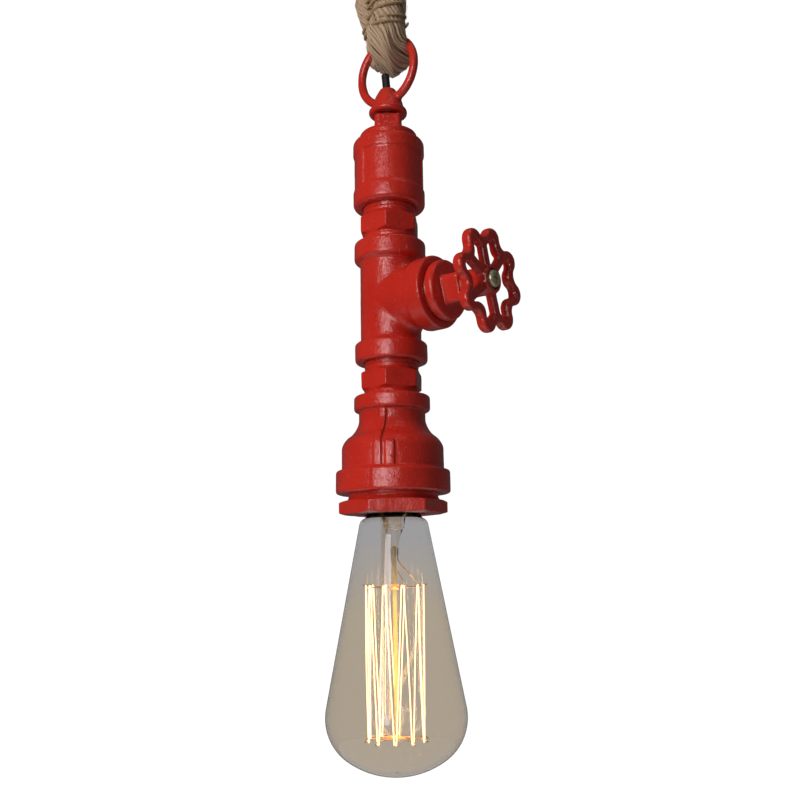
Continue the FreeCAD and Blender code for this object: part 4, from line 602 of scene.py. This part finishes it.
def spline_points(route, steps=12):
    """Points of the smooth line that a route's NURBS spline makes, in metres."""
    curve = bpy.data.curves.new("route", "CURVE")
    curve.dimensions = "3D"
    curve.resolution_u = steps
    spline = curve.splines.new("NURBS")
    spline.points.add(len(route) - 1)
    for point, place in zip(spline.points, route):
        point.co = (*[c * MM for c in place], 1)
    spline.order_u = 3
    spline.use_endpoint_u = True
    holder = bpy.data.objects.new("route", curve)
    mesh = bpy.data.meshes.new_from_object(holder)
    points = np.array([vertex.co for vertex in mesh.vertices])
    bpy.data.objects.remove(holder)
    bpy.data.meshes.remove(mesh)
    return points


def evenly(points, step):
    """The line's points set a step apart along it, and how far along each lies."""
    lengths = np.linalg.norm(np.diff(points, axis=0), axis=1)
    along = np.concatenate([[0], np.cumsum(lengths)])
    count = max(4, int(along[-1] / (step * MM)))
    marks = np.linspace(0, along[-1], count + 1)
    return np.stack([np.interp(marks, along, points[:, k]) for k in range(3)], axis=1), marks


def frames(points, across=None):
    """Unit tangent and two cross directions at each point, held by one direction or carried untwisted."""
    tangents = np.gradient(points, axis=0)
    tangents /= np.linalg.norm(tangents, axis=1)[:, None]
    if across is not None:
        across = np.array(across)
        sides = across[None, :] - tangents * (tangents @ across)[:, None]
        sides /= np.linalg.norm(sides, axis=1)[:, None]
        return tangents, sides, np.cross(tangents, sides)
    first = np.cross(tangents[0], SIDE_HINT)
    sides = [first / np.linalg.norm(first)]
    for tangent in tangents[1:]:
        side = sides[-1] - tangent * np.dot(sides[-1], tangent)
        sides.append(side / np.linalg.norm(side))
    sides = np.array(sides)
    return tangents, sides, np.cross(tangents, sides)


def wave(along, shape, start):
    """Gentle change along a line, by a wave of that size and depth."""
    size, depth = shape
    return depth * np.sin(along / (size * MM) + start)


class Tubes:
    """Gathers many tubes in one mesh, with a yarn attribute that runs round and along each tube."""

    def __init__(self):
        self.points = []
        self.faces = []
        self.marks = []

    def add(self, line, radii, sides, seed=0.0):
        _, side, rise = frames(line)
        along = np.concatenate([[0], np.cumsum(np.linalg.norm(np.diff(line, axis=0), axis=1))]) / MM
        base = len(self.points)
        count = len(line)
        for k in range(count):
            for j in range(sides):
                angle = 2 * math.pi * j / sides
                out = side[k] * math.cos(angle) + rise[k] * math.sin(angle)
                self.points.append(line[k] + out * radii[k])
                self.marks.append((YARN_ROUND * math.cos(angle) + seed, YARN_ROUND * math.sin(angle) - seed,
                                   along[k] + YARN_APART * seed))
        for k in range(count - 1):
            for j in range(sides):
                right = (j + 1) % sides
                low = base + k * sides
                self.faces.append((low + j, low + right, low + sides + right, low + sides + j))
        self.faces.append(tuple(base + j for j in reversed(range(sides))))
        self.faces.append(tuple(base + (count - 1) * sides + j for j in range(sides)))

    def piece(self, name):
        mesh = bpy.data.meshes.new(name)
        mesh.from_pydata([tuple(p) for p in self.points], [], self.faces)
        smooth(mesh)
        layer = mesh.attributes.new("yarn", "FLOAT_VECTOR", "POINT")
        layer.data.foreach_set("vector", np.array(self.marks, np.float32).ravel())
        mesh.update()
        return bpy.data.objects.new(name, mesh)


def in_bight(across, beside, height):
    """Place given across the rope's bight, beside it and in height."""
    return BIGHT_ALONG * across + BIGHT_BESIDE * beside + UP * height


def rope():
    """A soft rope of many jute yarns laid round each other, with loose fibres standing off it."""
    dice = random.Random(ROPE_SEED)
    route = [tuple(in_bight(*place)) for place in ROPE_SHAPE]
    line, along = evenly(spline_points(route, ROPE_SMOOTHNESS), ROPE_STEP)
    _, side, rise = frames(line, BIGHT_BESIDE)
    pressed = np.clip((PRESSED_Z - line[:, 2] / MM) / PRESSED_RUN, 0, 1)
    pointed = POINTED_SHARE * np.clip((POINTED_Z - line[:, 2] / MM) / POINTED_RUN, 0, 1)
    side = side * (1 + PRESSED_WIDER * pressed)[:, None]
    rise = rise * (1 - PRESSED_FLATTER * pressed)[:, None]

    def laid(turn, out, span=slice(None)):
        """Points round the rope. Under the bight it is drawn out to a narrow lower edge."""
        lower = np.clip(-np.sin(turn), 0, 1) ** POINTED_POWER
        width = np.cos(turn) * (1 - pointed[span] * lower) * out
        return line[span] + side[span] * width[:, None] + rise[span] * (np.sin(turn) * out)[:, None]

    tubes = Tubes()
    core = (CORE_RADIUS - POINTED_CORE * pointed) * MM
    core[0] = core[-1] = CORE_END_RADIUS * MM
    tubes.add(line, core, CORE_SIDES)
    pitch = YARN_PITCH * MM
    for k in range(YARN_COUNT):
        phase = 2 * math.pi * k / YARN_COUNT + dice.uniform(-YARN_JITTER, YARN_JITTER)
        starts = [dice.uniform(0, 2 * math.pi) for _ in range(4)]
        turn = phase - 2 * math.pi * along / pitch + wave(along, YARN_SWAY, starts[0])
        lift = wave(along, YARN_LIFT, starts[1]) + wave(along, YARN_RIPPLE, starts[2])
        radii = (YARN_RADIUS + wave(along, YARN_SWELL, starts[3])) * MM
        tubes.add(laid(turn, (YARN_OUT + lift) * MM), radii, YARN_SIDES, seed=YARN_SEED * k)
    for k in range(FIBRE_COUNT):
        start = dice.randrange(0, len(line) - FIBRE_MARGIN)
        span = slice(start, start + dice.randrange(*FIBRE_STEPS))
        phase = dice.uniform(0, 2 * math.pi)
        lay = dice.uniform(*FIBRE_LAY)
        turn = phase - 2 * math.pi * (along[span] - along[start]) / pitch * lay
        share = np.linspace(0, 1, len(turn))
        out = (FIBRE_OUT + FIBRE_RISE * share + dice.uniform(*FIBRE_TIP) * share ** 3) * MM
        radii = np.linspace(*FIBRE_RADII, len(turn)) * MM
        tubes.add(laid(turn, out, span), radii, FIBRE_SIDES, seed=FIBRE_SEED * k)
    piece = finished(tubes.piece("rope_of_jute"), "ceiling", ["rope"],
                     jute("jute_rope", (0.56, 0.385, 0.245), (0.20, 0.12, 0.066), (0.42, 0.245, 0.14)))
    return line


def leg_place(line, height, front):
    """Where the rope's front or rear leg is at that height: across the bight and beside it."""
    heights = line[:, 2] / MM
    low = int(np.argmin(heights))
    leg = slice(low, len(line)) if front else slice(0, low)
    near = line[leg][int(np.argmin(np.abs(heights[leg] - height)))] / MM
    return float(near @ np.array(BIGHT_ALONG)), float(near @ np.array(BIGHT_BESIDE))


def twine_route(line):
    """Control points of the binding round both legs of the rope, with a short loose end before them."""
    points = []
    for k in range(int(TWINE_TURNS * TURN_POINTS) + 1):
        angle = math.radians(TWINE_START + 360 / TURN_POINTS * k)
        middle = float(np.interp(k / TURN_POINTS, range(len(TWINE_HEIGHTS)), TWINE_HEIGHTS))
        front = math.cos(angle) > 0
        centre, shift = leg_place(line, middle - TWINE_TILT * (TWINE_LEG if front else -TWINE_LEG), front)
        across = centre + TWINE_OUT * math.cos(angle)
        beside = shift + TWINE_OUT * math.sin(angle)
        points.append(tuple(in_bight(across, beside, middle - TWINE_TILT * across)))
    head = Vector(points[0])
    back = (head - Vector(points[1])).normalized()
    loose = head + back * LOOSE_LENGTH + BIGHT_BESIDE * LOOSE_ASIDE + UP * LOOSE_RISE
    return [tuple(loose)] + points


def twine(rope_line):
    """Two-ply twine with a short loose end and hairs."""
    dice = random.Random(TWINE_SEED)
    line, along = evenly(spline_points(twine_route(rope_line), TWINE_SMOOTHNESS), TWINE_STEP)
    _, side, rise = frames(line)
    tubes = Tubes()
    for k in range(PLY_COUNT):
        turn = 2 * math.pi * k / PLY_COUNT + 2 * math.pi * along / (PLY_LAY * MM)
        out = PLY_OUT * MM
        place = line + side * (np.cos(turn) * out)[:, None] + rise * (np.sin(turn) * out)[:, None]
        tubes.add(place, (PLY_RADIUS + wave(along, PLY_SWELL, 2 * k)) * MM, PLY_SIDES, seed=PLY_SEED * k)
    for k in range(HAIR_COUNT):
        start = dice.randrange(0, len(line) - FIBRE_MARGIN)
        here = line[start:start + dice.randrange(*HAIR_STEPS)]
        angle = dice.uniform(0, 2 * math.pi)
        out = side[start] * math.cos(angle) + rise[start] * math.sin(angle)
        share = np.linspace(0, 1, len(here))
        reach = (HAIR_OUT + dice.uniform(*HAIR_TIP) * share ** 2) * MM
        radii = np.linspace(*HAIR_RADII, len(here)) * MM
        tubes.add(here + out * reach[:, None], radii, FIBRE_SIDES, seed=HAIR_SEED * k)
    piece = finished(tubes.piece("binding_of_twine"), "ceiling", ["twine_binding"],
                     jute("jute_twine", (0.42, 0.28, 0.12), (0.12, 0.07, 0.03), (0.42, 0.22, 0.07)))


def cable(name, route, body, nodes, material):
    """A round cable along its route. Returns the piece and the points of its middle."""
    line, _ = evenly(spline_points(route), CABLE_STEP)
    tubes = Tubes()
    tubes.add(line, np.full(len(line), CABLE_RADIUS * MM), CABLE_SIDES)
    return finished(tubes.piece(name), body, nodes, material), [tuple(p) for p in line]


def lathe(name, profile):
    """Closed profile of (radius, height) points turned about the lamp's axis."""
    points = []
    faces = []
    count = len(profile)
    for k in range(BULB_STEPS):
        angle = 2 * math.pi * k / BULB_STEPS
        for radius, height in profile:
            points.append((radius * math.cos(angle) * MM, radius * math.sin(angle) * MM, height * MM))
    for k in range(BULB_STEPS):
        ahead = (k + 1) % BULB_STEPS
        for j in range(count):
            above = (j + 1) % count
            faces.append((k * count + j, ahead * count + j, ahead * count + above, k * count + above))
    mesh = bpy.data.meshes.new(name)
    mesh.from_pydata(points, [], faces)
    mesh.validate()
    smooth(mesh)
    return bpy.data.objects.new(name, mesh)


def arc_points(centre, radius, start, end, count):
    """Points (radius, height) on an arc between two angles in degrees."""
    marks = [math.radians(start + (end - start) * k / count) for k in range(count + 1)]
    return [(centre[0] + radius * math.cos(a), centre[1] + radius * math.sin(a)) for a in marks]


def bulb_wall(inset):
    """Half outline of the bulb from the middle of its bottom to its collar, drawn in by the given amount."""
    widest = MOUTH_Z - BULB_WIDEST_DROP
    side, depth = BULB_SIDE_RADIUS, BULB_BOTTOM_DEPTH
    bottom = (BULB_SIDE_AT ** 2 + depth ** 2 - side ** 2) / (2 * (depth - side))
    centre = widest - depth + bottom
    join = math.degrees(math.atan2(centre - widest, BULB_SIDE_AT))
    outline = arc_points((0, centre), bottom - inset, -90, -join, BOTTOM_POINTS)
    outline[0] = (BULB_AXIS_HOLE, outline[0][1])
    outline += arc_points((BULB_SIDE_AT, widest), side - inset, -join, BULB_TAPER, SIDE_POINTS)[1:]
    low = outline[-1]
    shoulder = MOUTH_Z - BULB_SHOULDER_DROP
    top = low[0] - (shoulder - low[1]) * math.tan(math.radians(BULB_TAPER))
    for k in range(1, TAPER_POINTS + 1):
        share = k / TAPER_POINTS
        outline.append((low[0] + (top - low[0]) * share, low[1] + (shoulder - low[1]) * share))
    run = top - (BULB_NECK_RADIUS - inset)
    rise = BULB_SHOULDER_RISE
    chord = math.hypot(run, rise)
    for k in range(1, SHOULDER_POINTS + 1):
        share = k / SHOULDER_POINTS
        bulge = BULB_SHOULDER_BULGE * 4 * share * (1 - share) / chord
        outline.append((top - run * share + rise * bulge, shoulder + rise * share + run * bulge))
    for height in (BULB_COLLAR_RISE, BULB_COLLAR_TOP):
        outline.append((BULB_COLLAR_RADIUS - inset, MOUTH_Z + height))
    return outline


def bulb_envelope(material):
    """The bulb's glass, closed between its outer and inner outline."""
    profile = bulb_wall(0) + list(reversed(bulb_wall(BULB_WALL)))
    finished(lathe("glass_envelope", profile), "bulb", ["bulb_glass"], material)


def cage_point(turn, radius, drop):
    """Place on the filament's cage, that many degrees round it and below the mouth."""
    angle = math.radians(CAGE_TURN + turn)
    return Vector((radius * math.cos(angle), radius * math.sin(angle), MOUTH_Z - drop))


def filament(material):
    """One thread up and down between the hooks, each leg a little slack and none quite alike."""
    dice = random.Random(CAGE_SEED)
    ends = []
    for k in range(CAGE_LEGS + 1):
        for offset in ((0,) if k in (0, CAGE_LEGS) else (HOOK_TURN, -HOOK_TURN)):
            ends.append(cage_point(CAGE_FIRST - CAGE_STEP * k + offset, *CAGE_HOOKS[k % 2]))
    line = []
    for start, end in zip(ends, ends[1:]):
        long_leg = (start - end).length > LEG_SHORTEST
        count = LEG_POINTS if long_leg else HOOK_POINTS
        bow = dice.uniform(*LEG_BOW)
        outward = Vector((start.x + end.x, start.y + end.y, 0)).normalized()
        for j in range(count):
            share = j / count
            point = start.lerp(end, share)
            if long_leg:
                point = point + outward * bow * math.sin(math.pi * share)
            else:
                above = 1 if point.z > MOUTH_Z - CAGE_MIDDLE_DROP else -1
                point = point + UP * above * HOOK_BEND * math.sin(math.pi * share)
            line.append(point)
    line.append(ends[-1])
    line = np.array([tuple(p) for p in line]) * MM
    tubes = Tubes()
    tubes.add(line, np.full(len(line), THREAD_RADIUS * MM), THREAD_SIDES)
    finished(tubes.piece("glowing_thread"), "bulb", ["filament"], material)


def assign(material, *nodes):
    """Give CAD pieces their material."""
    for node in nodes:
        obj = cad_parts[node]
        for slot in obj.material_slots:
            slot.material = material
        if not obj.material_slots:
            obj.data.materials.append(material)


def floor():
    """Pale floor under the lamp."""
    bpy.ops.mesh.primitive_circle_add(vertices=FLOOR_SIDES, radius=FLOOR_RADIUS, fill_type="NGON",
                                      location=(0, 0, FLOOR_Z))
    obj = bpy.context.object
    obj.name = "floor"
    obj.data.materials.append(floor_paint())


add_camera()

# Rope, binding and cables
rope_line = rope()
twine(rope_line)
black_cable = moulded("black_cable", (0.009, 0.009, 0.009), 0.5)
feed, feed_line = cable("feed_flex", FEED_ROUTE, "lamp", ["feed_cable"], black_cable)
cable("rose_flex", ROSE_ROUTE, "ceiling", ["rose_cable"], black_cable)

# Red castings
red = enamel()
for node in ("lamp_eye", "top_plug", "pipe_coupling", "branch_plug", "reducing_socket"):
    cast(node, "lamp", red)
cast("tee", "lamp", red, soften=22)
for node in ("upper_hex_nipple", "lower_hex_nipple", "hex_bushing"):
    cast(node, "lamp", red, lumps=0.32)
cast("handwheel", "wheel", red, soften=3)
assign(red, "ceiling_rose", "rope_collar")

# Bulb
bulb_envelope(clear_glass())
filament(glow())
assign(stem_glass(), "bulb_stem", "exhaust_tube")
assign(lit_rod(), "support_rod")
assign(metal("dark_wire", (0.34, 0.27, 0.2), (0.12, 0.08, 0.05)), "lead_wires")
assign(wire_with_painted_glow(), "upper_filament_support", "lower_filament_support")

# Metal pieces
assign(metal("zinc_steel", (0.62, 0.63, 0.65), (0.30, 0.29, 0.27)), "ceiling_mounting_bar", "rose_screws",
       "terminal_block_screws", "collar_nut", "collar_set_screws", "wheel_front_washer")
# Near-black steel; on the threaded tube it is painted shade, for the dark gap under the dome where only its
# end shows
assign(metal("black_steel_and_shade", (0.09, 0.085, 0.085), (0.03, 0.028, 0.026), (0.4, 0.6)), "threaded_tube",
       "tube_lock_nut", "holder_ring")
assign(metal("yellow_zinc", (0.60, 0.57, 0.36), (0.22, 0.20, 0.10), share=0.5), "handwheel_screw")
assign(metal("brass", (0.78, 0.57, 0.25), (0.38, 0.24, 0.1)), "wheel_bush", "lampholder_shell",
       "lampholder_contact", "lampholder_terminal_screws", "bulb_cap")
assign(metal("solder", (0.62, 0.62, 0.62), (0.32, 0.32, 0.33), (0.35, 0.6)), "cap_contact")

# Insulators
assign(moulded("white_plastic", (0.80, 0.80, 0.77)), "terminal_block")
assign(moulded("black_plastic", (0.028, 0.028, 0.028), 0.45), "cord_grip", "cord_grip_screw")
assign(moulded("fibre", (0.42, 0.11, 0.07), 0.75, 0.2), "wheel_back_washer")
assign(moulded("brown_insulation", (0.20, 0.08, 0.035), 0.35), "conductor_live")
assign(moulded("blue_insulation", (0.035, 0.13, 0.42), 0.35), "conductor_neutral")
assign(moulded("black_glass", (0.03, 0.02, 0.03), 0.1), "cap_insulator")
assign(porcelain(), "lampholder_body")

# Studio
floor()
add_world()
bpy.context.scene.view_settings.view_transform = "Standard"
add_light("key", offset=(-0.86, 0.84, 0.25), size=(0.5, 1.1), power=11.5, shown=False)
add_light("window", offset=(-0.44, 1.3, 0.15), size=(0.4, 0.8), power=8.2, colour=WINDOW_COLOUR, lit=False)
add_light("top", offset=(-0.25, 0.3, 1.0), size=(0.5, 0.5), power=2.5, shown=False)
add_light("rear", offset=(0.0, -1.3, 0.3), size=(0.5, 1.0), power=6, shown=False)
add_light("glint", offset=(0.35, 0.5, 1.0), size=(0.16, 0.16), power=0.35, lit=False)
